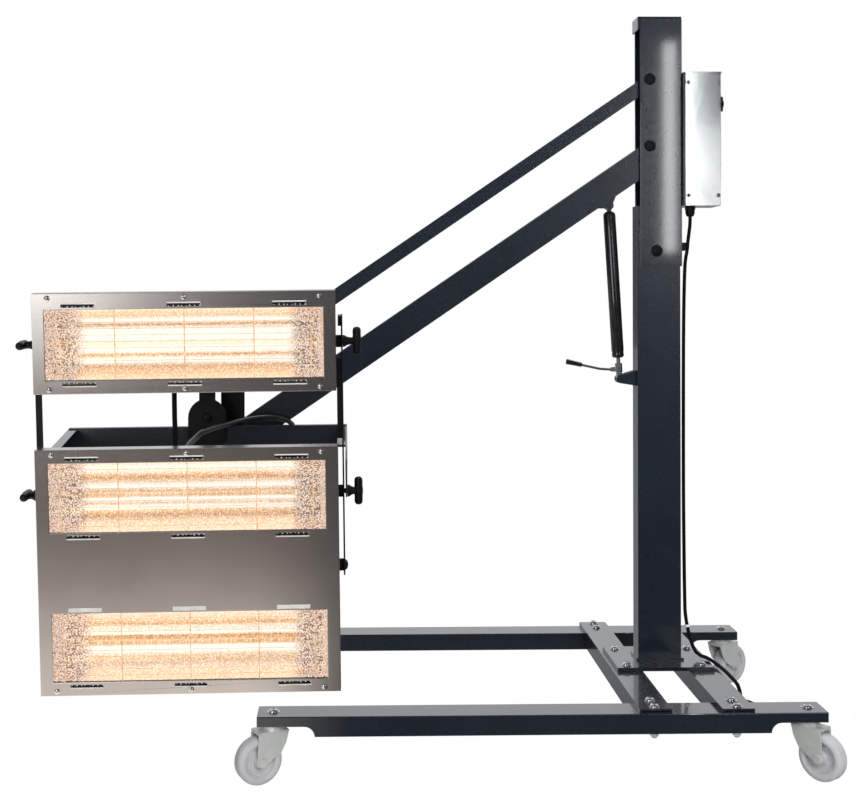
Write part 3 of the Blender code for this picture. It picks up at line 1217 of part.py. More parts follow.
def build_emitter(number, z, frame):
    """Grille, reflector and lamp behind one window."""
    half = WINDOW_WIDTH / 2
    row_y = PANEL_FRONT + PANEL_SHEET + GAP + GRILLE_WIRE
    post_y = row_y + GRILLE_WIRE + GRILLE_POST * GRILLE_POST_SHARES[1]
    lip = WINDOW_HEIGHT / 2 + GRILLE_OVERLAP
    wires = []
    for i in range(GRILLE_ROWS):
        wire_z = z - WINDOW_HEIGHT / 2 + WINDOW_HEIGHT * (i + 1) / (GRILLE_ROWS + 1)
        wires.append(rod((-half - GRILLE_SIDE, row_y, wire_z), (half + GRILLE_SIDE, row_y, wire_z),
                         GRILLE_WIRE, GRILLE_SIDES))
    posts = []
    for share in GRILLE_POST_SHARES:
        x = WINDOW_WIDTH * share - half
        posts.append(rod((x, post_y, z - lip), (x, post_y, z + lip), GRILLE_POST, GRILLE_SIDES))
    part(joined(posts[0], *wires, *posts[1:]), "grille_%d" % number, ZINC, frame)
    front = post_y + GRILLE_POST + GAP
    back = front + REFLECTOR_DEPTH
    mouth = WINDOW_HEIGHT / 2 - REFLECTOR_SHEET
    sheet = REFLECTOR_SHEET
    inner = bend((front, mouth), (back, mouth), (back, REFLECTOR_BACK_HALF), 5)
    outer = bend((front + sheet, mouth + sheet), (back + sheet, mouth + sheet),
                 (back + sheet, REFLECTOR_BACK_HALF), 5)
    upper = [(front, lip)] + inner
    lower = [(y, -height) for y, height in reversed(upper)]
    rear_lower = [(front + sheet, -lip)] + [(y, -height) for y, height in outer]
    rear_upper = [(y, -height) for y, height in reversed(rear_lower)]
    section = upper + lower + rear_lower + rear_upper
    span = half + REFLECTOR_SIDE
    trough = plate([(y, z + height) for y, height in section], -span, span, "X")
    middle = bend((front + sheet, mouth + sheet / 2), (back + sheet / 2, mouth + sheet / 2),
                  (back + sheet / 2, REFLECTOR_BACK_HALF), 5)
    cap = [(y, z + height) for y, height in middle]
    cap += [(y, z - height) for y, height in reversed(middle)]
    cap_outer = span - sheet / 2
    cap_inner = cap_outer - sheet
    caps = [plate(cap, -cap_outer, -cap_inner, "X"), plate(cap, cap_inner, cap_outer, "X")]
    part(joined(trough, *caps), "reflector_%d" % number, GOLD, frame)
    lamp_y = front + REFLECTOR_DEPTH / 2
    tip = cap_inner - GAP
    tube = rod((-tip + LAMP_CAP_LENGTH / 2, lamp_y, z), (tip - LAMP_CAP_LENGTH / 2, lamp_y, z),
               LAMP_RADIUS, SMALL_SIDES)
    ends = [rod((side * tip, lamp_y, z), (side * (tip - LAMP_CAP_LENGTH), lamp_y, z),
                LAMP_CAP_RADIUS, SMALL_SIDES) for side in (-1, 1)]
    part(joined(tube, *ends), "lamp_%d" % number, QUARTZ, frame)


def build_strap(name, side, frame, lower_half, upper_half):
    """Side strap that carries the upper cassette on the lower one."""
    low, high = sorted((side * STRAP_OFFSET, side * (STRAP_OFFSET + STRAP_THICKNESS)))
    strap = block((low, -STRAP_HALF, STRAP_BOTTOM), (high, STRAP_HALF, STRAP_TOP))
    lip = sorted((side * (STRAP_OFFSET + UNION_DEPTH), side * (STRAP_OFFSET - STRAP_LIP_REACH)))
    pieces = [block((lip[0], UNION_DEPTH - STRAP_HALF, STRAP_TOP - STRAP_LIP_HEIGHT),
                    (lip[1], STRAP_HALF - UNION_DEPTH, STRAP_TOP - UNION_DEPTH))]
    low, high = sorted((side * (STRAP_OFFSET + UNION_DEPTH), side * (UPPER_PANEL_HALF + GAP)))
    pieces.append(block((low, -STRAP_HALF, STRAP_FLANGE_BOTTOM),
                        (high, STRAP_THICKNESS - STRAP_HALF, STRAP_FLANGE_TOP)))
    for z, half in ((STRAP_BOLT_Z, lower_half), (0, lower_half), (CASSETTE_AXIS_Z, upper_half)):
        pieces.append(rod((side * (half + GAP), 0, z),
                          (side * (STRAP_OFFSET + UNION_DEPTH), 0, z), SPACER_RADIUS))
    outside = side * (STRAP_OFFSET + STRAP_THICKNESS)
    pieces.append(dome((outside, 0, STRAP_BOLT_Z), (side, 0, 0), STRAP_DOME_RADIUS,
                       STRAP_DOME_HEIGHT))
    holes = [rod((side * (KNOB_SHANK_INNER - RUNNING_GAP), 0, z), (outside + side * OVERRUN, 0, z),
                 KNOB_SHANK_RADIUS + GAP) for z in (0, CASSETTE_AXIS_Z)]
    part(cut(joined(strap, *pieces), *holes), name, BLACK, frame)


def build_knob(name, side, z, seat, frame, upright):
    """T-shaped clamp knob on an axis across the head."""
    axis = empty(name + "_axis", frame, (side * seat, 0, z))
    bar_x = side * (KNOB_TIP - seat - KNOB_BAR_RADIUS)
    stem = rod((0, 0, 0), (bar_x, 0, 0), KNOB_STEM_RADIUS)
    shank = rod((side * (KNOB_SHANK_INNER - seat), 0, 0), (side * UNION_DEPTH, 0, 0),
                KNOB_SHANK_RADIUS, SMALL_SIDES)
    half = KNOB_BAR_LENGTH / 2
    if upright:
        bar = rod((bar_x, 0, -half), (bar_x, 0, half), KNOB_BAR_RADIUS)
    else:
        bar = rod((bar_x, -half, 0), (bar_x, half, 0), KNOB_BAR_RADIUS)
    part(joined(stem, shank, bar), name, BLACK, axis)


def build_head(yoke):
    """Both cassettes, their straps and clamp knobs."""
    head = empty("head_tilt_axis", yoke, (0, TILT_Y, TILT_Z - ROLL_Z), (TILT_ANGLE, 0, 0))
    cassette = empty("upper_cassette_axis", head, (0, 0, CASSETTE_AXIS_Z))
    lower_window, middle_window, upper_window = window_centres()
    inset = PANEL_SHEET + GAP
    build_panel("lower_panel", LOWER_PANEL_HALF, LOWER_PANEL_BOTTOM, LOWER_PANEL_TOP,
                (lower_window, middle_window), head)
    build_housing("lower_housing", LOWER_PANEL_HALF - inset,
                  LOWER_PANEL_BOTTOM + HOUSING_BOTTOM_INSET,
                  LOWER_PANEL_TOP - HOUSING_TOP_INSET, head, True)
    build_emitter(1, lower_window, head)
    build_emitter(2, middle_window, head)
    down = -CASSETTE_AXIS_Z
    build_panel("upper_panel", UPPER_PANEL_HALF, UPPER_PANEL_BOTTOM + down,
                UPPER_PANEL_TOP + down, (upper_window + down,), cassette)
    build_housing("upper_housing", UPPER_PANEL_HALF - inset,
                  UPPER_PANEL_BOTTOM + UPPER_BOTTOM_INSET + down,
                  UPPER_PANEL_TOP - HOUSING_TOP_INSET + down, cassette, False)
    build_emitter(3, upper_window + down, cassette)
    yoke_seat = YOKE_HALF + GAP
    strap_seat = STRAP_OFFSET + STRAP_THICKNESS + GAP
    for word, side in (("left", -1), ("right", 1)):
        build_strap("strap_" + word, side, head, LOWER_PANEL_HALF - inset,
                    UPPER_PANEL_HALF - inset)
        build_knob("tilt_knob_" + word, side, 0, yoke_seat, head, side > 0)
        build_knob("cassette_knob_" + word, side, CASSETTE_AXIS_Z, strap_seat, head, side > 0)
    return head


def build_leads(root, head, knuckle):
    """Lead from the arm to the head, and the short one between the cassettes."""
    bpy.context.view_layer.update()
    top = UPPER_PANEL_BOTTOM + UPPER_BOTTOM_INSET - GAP
    bottom = LOWER_PANEL_TOP - HOUSING_TOP_INSET + GAP
    straight = 2 * UPPER_LEAD_RADIUS
    route = [(UPPER_LEAD_X, UPPER_LEAD_Y, top), (UPPER_LEAD_X, UPPER_LEAD_Y, top - straight),
             (UPPER_LEAD_X, UPPER_LEAD_Y - UPPER_LEAD_BOW, (top + bottom) / 2),
             (UPPER_LEAD_X, UPPER_LEAD_Y, bottom + straight), (UPPER_LEAD_X, UPPER_LEAD_Y, bottom)]
    lead = cord_curve("upper_lead", smooth_route(route, UPPER_LEAD_STRAIGHT), UPPER_LEAD_RADIUS,
                      UPPER_LEAD_ROUNDNESS, WORKSHOP)
    part(lead, "upper_lead", RUBBER, head)
    straight = 2 * HEAD_LEAD_RADIUS
    exit_y = HOUSING_BACK + REAR_GLAND_LENGTH + GAP
    first = head.matrix_world @ Vector((HEAD_LEAD_EXIT_X, exit_y, HEAD_LEAD_EXIT_Z))
    second = head.matrix_world @ Vector((HEAD_LEAD_EXIT_X, exit_y + straight, HEAD_LEAD_EXIT_Z))
    last_y = -CHANNEL_OUTER - LEAD_GLAND_OFFSET
    last = Vector((LEAD_GLAND_X + GAP, last_y, LEAD_GLAND_Z))
    before = last + Vector((straight, 0, 0))
    centre = Vector((HEAD_X, 0, ROLL_Z))
    middle = [centre + Vector(point) for point in HEAD_LEAD_ROUTE]
    route = [first, second] + middle + [before, last]
    into = knuckle.matrix_world.inverted()
    points = [into @ point for point in smooth_route(route, 2 * straight)]
    lead = cord_curve("head_lead", points, HEAD_LEAD_RADIUS, 2, WORKSHOP)
    part(lead, "head_lead", RUBBER, knuckle)


def stand_on_origin(root):
    """Move the root so that the lamp, without its mains cord, stands on the origin."""
    bpy.context.view_layer.update()
    graph = bpy.context.evaluated_depsgraph_get()
    corners = []
    for thing in PARTS.objects:
        if thing.type == "EMPTY" or thing.name in CORD_NAMES:
            continue
        solid = thing.evaluated_get(graph)
        mesh = solid.to_mesh()
        corners += [thing.matrix_world @ vertex.co for vertex in mesh.vertices]
        solid.to_mesh_clear()
    low = [min(corner[i] for corner in corners) for i in range(3)]
    high = [max(corner[i] for corner in corners) for i in range(3)]
    root.location = (-(low[0] + high[0]) / 2, -(low[1] + high[1]) / 2, -low[2])
    bpy.context.view_layer.update()
    print("size %.4f %.4f %.4f" % tuple(b - a for a, b in zip(low, high)))
    for thing in PARTS.objects:
        if thing.type == "EMPTY":
            place = thing.matrix_world
            print(thing.name, [round(value, 6) for value in place.translation],
                  "x", [round(value, 6) for value in place.col[0][:3]],
                  "z", [round(value, 6) for value in place.col[2][:3]])


def build_lamp():
    """Build every sub-part."""
    root = empty("curing_lamp", None, (0, 0, 0))
    build_rails(root)
    build_beams(root)
    build_mast(root)
    build_channel(root)
    build_bolts(root)
    build_control_box(root)
    build_mains(root)
    build_casters(root)
    lower_arm = build_arms(root)
    knuckle = build_knuckle(lower_arm)
    build_pivot_plate(knuckle)
    build_strut(lower_arm)
    yoke = build_yoke(knuckle)
    head = build_head(yoke)
    build_leads(root, head, knuckle)
    stand_on_origin(root)


CORD_NAMES = ("mains_cable", "mains_cable_coil", "mains_plug", "cable_tie")

clear_scene()
PARTS = collection("infrared_curing_lamp")
WORKSHOP = collection("workshop")
PAINT = finish("paint", (0.022, 0.032, 0.042), 0.3, 0.0)
STAINLESS = finish("stainless", (0.55, 0.53, 0.50), 0.35, 1.0)
BLACK = finish("black", (0.02, 0.02, 0.022), 0.45, 0.0)
ZINC = finish("zinc", (0.62, 0.62, 0.60), 0.35, 1.0)
RUBBER = finish("cord_rubber", (0.03, 0.03, 0.032), 0.6, 0.0)
TYRE = finish("tyre", (0.33, 0.34, 0.34), 0.7, 0.0)
GOLD = finish("gold", (0.80, 0.56, 0.24), 0.25, 1.0)
QUARTZ = finish("quartz", (0.75, 0.72, 0.70), 0.15, 0.0)
PALE = finish("pale_nylon", (0.7, 0.7, 0.68), 0.5, 0.0)
build_lamp()
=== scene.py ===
"""Looks of a mobile infrared paint curing lamp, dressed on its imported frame.

The frame gives every body its place. Here the lamps, reflectors, grilles, casters,
knobs, cords and fasteners get their full shape, and every surface gets its finish.
All lengths are in metres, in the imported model's own frame.
"""

import json
import logging
import math
from collections.abc import Sequence
from dataclasses import dataclass
from enum import Enum
from typing import ClassVar

import bmesh
import bpy
from mathutils import Matrix, Vector

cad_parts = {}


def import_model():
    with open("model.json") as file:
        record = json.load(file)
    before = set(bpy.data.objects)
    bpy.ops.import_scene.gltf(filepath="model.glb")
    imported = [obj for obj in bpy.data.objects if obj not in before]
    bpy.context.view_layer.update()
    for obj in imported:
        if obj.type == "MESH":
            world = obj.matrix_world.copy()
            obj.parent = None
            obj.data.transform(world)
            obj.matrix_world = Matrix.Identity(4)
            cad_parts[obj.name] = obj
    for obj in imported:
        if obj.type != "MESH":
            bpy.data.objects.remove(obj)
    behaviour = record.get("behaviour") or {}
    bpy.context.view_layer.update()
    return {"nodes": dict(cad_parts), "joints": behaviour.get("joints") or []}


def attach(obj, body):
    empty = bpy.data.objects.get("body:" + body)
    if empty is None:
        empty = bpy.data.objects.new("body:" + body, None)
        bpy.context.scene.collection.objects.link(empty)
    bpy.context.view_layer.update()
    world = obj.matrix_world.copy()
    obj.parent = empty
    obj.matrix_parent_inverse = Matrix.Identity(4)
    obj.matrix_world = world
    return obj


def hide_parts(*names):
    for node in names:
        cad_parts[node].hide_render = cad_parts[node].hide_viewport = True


LOG = logging.getLogger("curing_lamp")

Triple = tuple[float, float, float]
Outline = tuple[tuple[float, float], ...]
Stops = tuple[tuple[float, Triple], ...]

# Origin of the CAD's own sizes, on the middle line of the mast.
MAST = Vector((0.510547, 0.050317, -0.010))
# Origin of the head's own sizes on its tilt axis, its way to the right and its way up.
HEAD_PLACE = Vector((-0.477185, -0.298683, 0.576975))
HEAD_RIGHT = Vector((0.999945, 0.0, 0.010472))
HEAD_UP = Vector((-0.010449, -0.065403, 0.997804))
# Clearance between a new piece and what carries it.
GAP = 0.0003
# Front panels and windows of both cassettes, in the head's own sizes.
PANEL_FRONT = -0.085
PANEL_SHEET = 0.0015
WINDOW_WIDTH = 0.519
WINDOW_HEIGHT = 0.132
# Angle between two faces above which their edge stays sharp.
SHARP_ANGLE = math.radians(38)
# Bevel resolution of every cord.
CORD_ROUNDNESS = 4
# Sockets of a colour Mix node, which share their names with its number sockets.
MIX_FIRST, MIX_SECOND, MIX_RESULT = 6, 7, 2
BLACK = (0.0, 0.0, 0.0)
WHITE = (1.0, 1.0, 1.0)
# Painted brightness of the lamp's reflected light across each trough: the place from its
# lower lip to its upper one, and the level there from 0, mottled, to 1, white.
LOWER_BANDS = (
    (0.00, 0.45), (0.10, 0.50), (0.18, 0.30), (0.24, 0.45), (0.31, 0.95), (0.36, 1.0),
    (0.41, 0.55), (0.47, 0.05), (0.53, 0.05), (0.57, 1.0), (0.62, 0.70), (0.68, 0.55),
    (0.72, 0.10), (0.78, 0.45), (0.90, 0.60), (0.96, 1.0), (1.00, 0.9))
MIDDLE_BANDS = (
    (0.00, 0.50), (0.10, 0.45), (0.17, 0.12), (0.22, 0.35), (0.27, 0.98), (0.33, 0.35),
    (0.39, 1.0), (0.43, 0.85), (0.48, 0.08), (0.53, 0.35), (0.57, 1.0), (0.64, 0.60),
    (0.71, 0.08), (0.77, 0.40), (0.87, 0.98), (0.93, 0.55), (1.00, 0.40))
UPPER_BANDS = (
    (0.00, 0.40), (0.08, 0.30), (0.15, 0.20), (0.21, 0.98), (0.26, 0.75), (0.30, 0.12),
    (0.36, 0.85), (0.42, 1.0), (0.50, 0.88), (0.58, 1.0), (0.66, 0.95), (0.71, 0.70),
    (0.75, 0.10), (0.81, 1.0), (0.87, 0.50), (0.94, 0.35), (1.00, 0.45))


def head_matrix() -> Matrix:
    """Where the head's own sizes, counted from its tilt axis, stand in the model.

    Returns:
        The matrix from the head's sizes to the model's.
    """
    back = HEAD_UP.cross(HEAD_RIGHT)
    turn = Matrix((HEAD_RIGHT, back, HEAD_UP)).transposed().to_4x4()
    return Matrix.Translation(HEAD_PLACE) @ turn


class Body(Enum):
    """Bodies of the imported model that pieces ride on."""

    BASE = "base"
    KNUCKLE = "knuckle"
    STRUT_CYLINDER = "strut_cylinder"
    HEAD = "head"
    UPPER_CASSETTE = "upper_cassette"
    TIMER_KNOB = "timer_knob"


class Axis(Enum):
    """Directions that a turned piece can stand along."""

    X = (1.0, 0.0, 0.0)
    Y = (0.0, 1.0, 0.0)
    Z = (0.0, 0.0, 1.0)
    FRONT = (0.0, -1.0, 0.0)
    DOWN = (0.0, 0.0, -1.0)


class Board:
    """Node tree of one material, with its Principled shader."""

    def __init__(self, name: str) -> None:
        """Start a material.

        Args:
            name: name of the material.
        """
        self.material = bpy.data.materials.new(name)
        self.material.use_nodes = True
        self.tree = self.material.node_tree
        self.shader = self.tree.nodes["Principled BSDF"]

    def add(self, kind: str, **values: object) -> bpy.types.Node:
        """Add a node.

        Args:
            kind: the node's type, without its ShaderNode prefix.
            values: attributes, or values of inputs where no attribute has that name.

        Returns:
            The new node.
        """
        return add_node(self.tree, kind, **values)

    def use(self, group: bpy.types.NodeTree, **values: object) -> bpy.types.Node:
        """Place a node group.

        Args:
            group: the shared group.
            values: values of its inputs.

        Returns:
            The group's node.
        """
        node = self.tree.nodes.new("ShaderNodeGroup")
        node.node_tree = group
        for key, value in values.items():
            node.inputs[key.replace("_", " ")].default_value = value
        return node

    def join(self, source: bpy.types.NodeSocket, target: bpy.types.NodeSocket | str) -> None:
        """Link two sockets.

        Args:
            source: the output.
            target: the input, or the name of one of the shader's.
        """
        if isinstance(target, str):
            target = self.shader.inputs[target]
        self.tree.links.new(source, target)

    def set(self, **values: object) -> None:
        """Set inputs of the shader; an underscore stands for a space."""
        for key, value in values.items():
            self.shader.inputs[key.replace("_", " ")].default_value = value


def add_node(tree: bpy.types.NodeTree, kind: str, **values: object) -> bpy.types.Node:
    """Add a node to a tree.

    Args:
        tree: the tree of a material or a group.
        kind: the node's type, without its ShaderNode prefix.
        values: attributes, or values of inputs where no attribute has that name.

    Returns:
        The new node.
    """
    node = tree.nodes.new("ShaderNode" + kind)
    for key, value in values.items():
        if hasattr(node, key):
            setattr(node, key, value)
        else:
            node.inputs[key.replace("_", " ")].default_value = value
    return node


def fill_ramp(ramp: bpy.types.Node, stops: Stops) -> None:
    """Set a Color Ramp's stops.

    Args:
        ramp: the Color Ramp node.
        stops: positions and colours, from low to high.
    """
    elements = ramp.color_ramp.elements
    while len(elements) > 1:
        elements.remove(elements[-1])
    elements[0].position = stops[0][0]
    elements[0].color = (*stops[0][1], 1)
    for position, colour in stops[1:]:
        elements.new(position).color = (*colour, 1)


def start_group(name: str, inputs: Sequence[tuple[str, str, object]],
                outputs: Sequence[tuple[str, str]],
                ) -> tuple[bpy.types.NodeTree, bpy.types.Node, bpy.types.Node]:
    """Begin a node group.

    Args:
        name: the group's name.
        inputs: name, socket type and default of each input.
        outputs: name and socket type of each output.

    Returns:
        The group, its input node and its output node.
    """
    group = bpy.data.node_groups.new(name, "ShaderNodeTree")
    for label, kind, value in inputs:
        socket = group.interface.new_socket(label, in_out="INPUT", socket_type=kind)
        socket.default_value = value
    for label, kind in outputs:
        group.interface.new_socket(label, in_out="OUTPUT", socket_type=kind)
    return group, group.nodes.new("NodeGroupInput"), group.nodes.new("NodeGroupOutput")


class SharedEffects:
    """Node groups that several finishes use."""

    def __init__(self) -> None:
        """Build the groups once."""
        self.mottle = self.build_mottle()
        self.grain = self.build_grain()

    @staticmethod
    def build_mottle() -> bpy.types.NodeTree:
        """Soft patches of two near colours, as on handled paint or rolled sheet.

        Returns:
            The group.
        """
        group, given, result = start_group(
            "soft_mottle",
            [("Scale", "NodeSocketFloat", 6.0), ("First", "NodeSocketColor", (0, 0, 0, 1)),
             ("Second", "NodeSocketColor", (1, 1, 1, 1))],
            [("Color", "NodeSocketColor"), ("Mask", "NodeSocketFloat")])
        place = add_node(group, "TexCoord")
        noise = add_node(group, "TexNoise", Detail=6.0, Roughness=0.6)
        spread = add_node(group, "MapRange", From_Min=0.35, From_Max=0.65)
        mix = add_node(group, "Mix", data_type="RGBA")
        link = group.links.new
        link(place.outputs["Object"], noise.inputs["Vector"])
        link(given.outputs["Scale"], noise.inputs["Scale"])
        link(noise.outputs["Fac"], spread.inputs["Value"])
        link(spread.outputs["Result"], mix.inputs["Factor"])
        link(given.outputs["First"], mix.inputs[MIX_FIRST])
        link(given.outputs["Second"], mix.inputs[MIX_SECOND])
        link(mix.outputs[MIX_RESULT], result.inputs["Color"])
        link(spread.outputs["Result"], result.inputs["Mask"])
        return group

    @staticmethod
    def build_grain() -> bpy.types.NodeTree:
        """Fine drawn-out grain that sets the roughness and the bump.

        Returns:
            The group.
        """
        group, given, result = start_group(
            "fine_grain",
            [("Stretch", "NodeSocketVector", (1, 1, 1)), ("Scale", "NodeSocketFloat", 300.0),
             ("Low", "NodeSocketFloat", 0.25), ("High", "NodeSocketFloat", 0.4)],
            [("Roughness", "NodeSocketFloat"), ("Height", "NodeSocketFloat")])
        place = add_node(group, "TexCoord")
        drawn = add_node(group, "VectorMath", operation="MULTIPLY")
        noise = add_node(group, "TexNoise", Detail=4.0, Roughness=0.55)
        spread = add_node(group, "MapRange", From_Min=0.3, From_Max=0.7)
        link = group.links.new
        link(place.outputs["Object"], drawn.inputs[0])
        link(given.outputs["Stretch"], drawn.inputs[1])
        link(drawn.outputs["Vector"], noise.inputs["Vector"])
        link(given.outputs["Scale"], noise.inputs["Scale"])
        link(noise.outputs["Fac"], spread.inputs["Value"])
        link(given.outputs["Low"], spread.inputs["To Min"])
        link(given.outputs["High"], spread.inputs["To Max"])
        link(spread.outputs["Result"], result.inputs["Roughness"])
        link(noise.outputs["Fac"], result.inputs["Height"])
        return group


@dataclass(frozen=True)
class Finish:
    """One finish: two near colours, its gloss and its grain."""

    name: str
    slot: str
    first: Triple
    second: Triple
    metallic: float = 0.0
    gloss: tuple[float, float] = (0.3, 0.4)
    patch_scale: float = 6.0
    grain_scale: float = 300.0
    stretch: Triple = (1.0, 1.0, 1.0)
    bump: float = 0.1
    depth: float = 0.0002
    coat: float = 0.0
    coat_gloss: float = 0.1
    specular: float = 0.5

    def make(self, effects: SharedEffects) -> bpy.types.Material:
        """Build the material.

        Args:
            effects: the shared node groups.

        Returns:
            The material.
        """
        board = Board(self.name)
        mottle = board.use(effects.mottle, Scale=self.patch_scale, First=(*self.first, 1),
                           Second=(*self.second, 1))
        grain = board.use(effects.grain, Stretch=self.stretch, Scale=self.grain_scale,
                          Low=self.gloss[0], High=self.gloss[1])
        relief = board.add("Bump", Strength=self.bump, Distance=self.depth)
        board.join(mottle.outputs["Color"], "Base Color")
        board.join(grain.outputs["Roughness"], "Roughness")
        board.join(grain.outputs["Height"], relief.inputs["Height"])
        board.join(relief.outputs["Normal"], "Normal")
        board.set(Metallic=self.metallic, Coat_Weight=self.coat,
                  Coat_Roughness=self.coat_gloss, Specular_IOR_Level=self.specular)
        return board.material


@dataclass(frozen=True)
class GlowingReflector:
    """Hammered gold trough, with its lamp's light painted on as a glow.

    Painted bright streaks of the lamp's reflected light lie between mottled bands along its
    heated length; beyond that its painted glow is paler, with dark specks.
    """

    name: str
    bands: Outline
    slot: str = "gold"
    first: Triple = (0.30, 0.17, 0.06)
    second: Triple = (0.38, 0.24, 0.10)
    patch_scale: float = 30.0
    roughness: float = 0.35
    strength: float = 0.95
    dimple_scale: float = 330.0
    bump: float = 0.4
    depth: float = 0.0005
    # Where along the trough the painted lamplight is full, and where it is dull.
    painted_light_ends: Stops = ((0.085, BLACK), (0.135, WHITE), (0.865, WHITE), (0.905, BLACK))
    streak_stretch: Triple = (4.0, 160.0, 160.0)
    streak_shift: float = 0.022
    lit_tones: Stops = ((0.0, (0.80, 0.53, 0.30)), (0.35, (0.95, 0.78, 0.61)),
                        (0.60, (1.02, 0.95, 0.84)), (0.85, (1.06, 1.05, 0.99)))
    speck_share: tuple[float, float] = (0.9, 0.10)
    lit_specks: Stops = ((0.36, (1.14, 1.17, 1.22)), (0.50, (0.52, 0.29, 0.15)))
    dull_specks: Stops = ((0.34, (0.88, 0.79, 0.74)), (0.50, (0.60, 0.49, 0.43)),
                          (0.64, (0.14, 0.10, 0.09)))

    def make(self, effects: SharedEffects) -> bpy.types.Material:
        """Build the material.

        Args:
            effects: the shared node groups.

        Returns:
            The material.
        """
        board = Board(self.name)
        place = board.add("TexCoord")
        unroll = board.add("SeparateXYZ")
        board.join(place.outputs["UV"], unroll.inputs["Vector"])
        level = self.add_level(board, place, unroll)
        dimples = board.add("TexVoronoi", Scale=self.dimple_scale)
        board.join(place.outputs["Object"], dimples.inputs["Vector"])
        lit = self.add_lit(board, dimples, level)
        dull = self.add_dull(board, dimples)
        painted_light_reach = board.add("ValToRGB")
        fill_ramp(painted_light_reach, self.painted_light_ends)
        board.join(unroll.outputs["X"], painted_light_reach.inputs["Fac"])
        glow = board.add("Mix", data_type="RGBA")
        board.join(painted_light_reach.outputs["Color"], glow.inputs["Factor"])
        board.join(dull, glow.inputs[MIX_FIRST])
        board.join(lit, glow.inputs[MIX_SECOND])
        # The lamp's light and glints on the trough, painted on as emission.
        board.join(glow.outputs[MIX_RESULT], "Emission Color")
        mottle = board.use(effects.mottle, Scale=self.patch_scale, First=(*self.first, 1),
                           Second=(*self.second, 1))
        board.join(mottle.outputs["Color"], "Base Color")
        relief = board.add("Bump", Strength=self.bump, Distance=self.depth)
        board.join(dimples.outputs["Distance"], relief.inputs["Height"])
        board.join(relief.outputs["Normal"], "Normal")
        board.set(Metallic=1.0, Roughness=self.roughness, Emission_Strength=self.strength)
        return board.material

    def add_level(self, board: Board, place: bpy.types.Node,
                  unroll: bpy.types.Node) -> bpy.types.NodeSocket:
        """Painted brightness of the lamp's light across the trough, drawn out along it and a
        little uneven.

        Args:
            board: the material's board.
            place: its Texture Coordinate node.
            unroll: the parts of its UV coordinates.

        Returns:
            The brightness from 0, mottled, to 1, white.
        """
        drawn = board.add("VectorMath", operation="MULTIPLY")
        drawn.inputs[1].default_value = self.streak_stretch
        board.join(place.outputs["Object"], drawn.inputs[0])
        streaks = board.add("TexNoise", Scale=1.0, Detail=3.0)
        board.join(drawn.outputs["Vector"], streaks.inputs["Vector"])
        shift = board.add("MapRange", To_Min=-self.streak_shift, To_Max=self.streak_shift)
        board.join(streaks.outputs["Fac"], shift.inputs["Value"])
        moved = board.add("Math", operation="ADD")
        board.join(unroll.outputs["Y"], moved.inputs[0])
        board.join(shift.outputs["Result"], moved.inputs[1])
        ramp = board.add("ValToRGB")
        fill_ramp(ramp, tuple((across, (level,) * 3) for across, level in self.bands))
        board.join(moved.outputs["Value"], ramp.inputs["Fac"])
        return ramp.outputs["Color"]

    def add_lit(self, board: Board, dimples: bpy.types.Node,
                level: bpy.types.NodeSocket) -> bpy.types.NodeSocket:
        """Painted glow colour of the heated length, with painted glints and dark specks from the
        dimples.

        Args:
            board: the material's board.
            dimples: the hammered pattern.
            level: brightness across the trough.

        Returns:
            The colour.
        """
        tone = board.add("ValToRGB")
        fill_ramp(tone, self.lit_tones)
        board.join(level, tone.inputs["Fac"])
        specks = board.add("ValToRGB")
        fill_ramp(specks, self.lit_specks)
        board.join(dimples.outputs["Distance"], specks.inputs["Fac"])
        most, least = self.speck_share
        share = board.add("MapRange", From_Max=1.0, To_Min=most, To_Max=least)
        board.join(level, share.inputs["Value"])
        mix = board.add("Mix", data_type="RGBA", blend_type="MULTIPLY")
        board.join(share.outputs["Result"], mix.inputs["Factor"])
        board.join(tone.outputs["Color"], mix.inputs[MIX_FIRST])
        board.join(specks.outputs["Color"], mix.inputs[MIX_SECOND])
        return mix.outputs[MIX_RESULT]

    def add_dull(self, board: Board, dimples: bpy.types.Node) -> bpy.types.NodeSocket:
        """Painted glow colour of the ends that the lamp's filament doesn't reach.

        Args:
            board: the material's board.
            dimples: the hammered pattern.

        Returns:
            The colour.
        """
        specks = board.add("ValToRGB")
        fill_ramp(specks, self.dull_specks)
        board.join(dimples.outputs["Distance"], specks.inputs["Fac"])
        return specks.outputs["Color"]


@dataclass(frozen=True)
class Glow:
    """A surface that gives light in soft patches of two colours: a lamp's filament, or lamplight
    painted on as a glow.
    """

    name: str
    slot: str
    dim_tone: Triple
    bright_tone: Triple
    strength: float
    patch_scale: float = 120.0
    roughness: float = 0.5

    def make(self, effects: SharedEffects) -> bpy.types.Material:
        """Build the material.

        Args:
            effects: the shared node groups.

        Returns:
            The material.
        """
        board = Board(self.name)
        mottle = board.use(effects.mottle, Scale=self.patch_scale, First=(*self.dim_tone, 1),
                           Second=(*self.bright_tone, 1))
        board.join(mottle.outputs["Color"], "Emission Color")
        board.join(mottle.outputs["Color"], "Base Color")
        board.set(Emission_Strength=self.strength, Roughness=self.roughness)
        return board.material


@dataclass(frozen=True)
class QuartzGlass:
    """Clear quartz of the lamp tubes."""

    name: str = "quartz_glass"
    slot: str = "quartz"
    tint: Triple = (1.0, 0.97, 0.92)
    ior: float = 1.05
    grain_scale: float = 80.0
    gloss: tuple[float, float] = (0.02, 0.06)

    def make(self, effects: SharedEffects) -> bpy.types.Material:
        """Build the material.

        Args:
            effects: the shared node groups.

        Returns:
            The material.
        """
        board = Board(self.name)
        grain = board.use(effects.grain, Scale=self.grain_scale, Low=self.gloss[0],
                          High=self.gloss[1])
        board.join(grain.outputs["Roughness"], "Roughness")
        board.set(Base_Color=(*self.tint, 1), Transmission_Weight=1.0, IOR=self.ior)
        return board.material


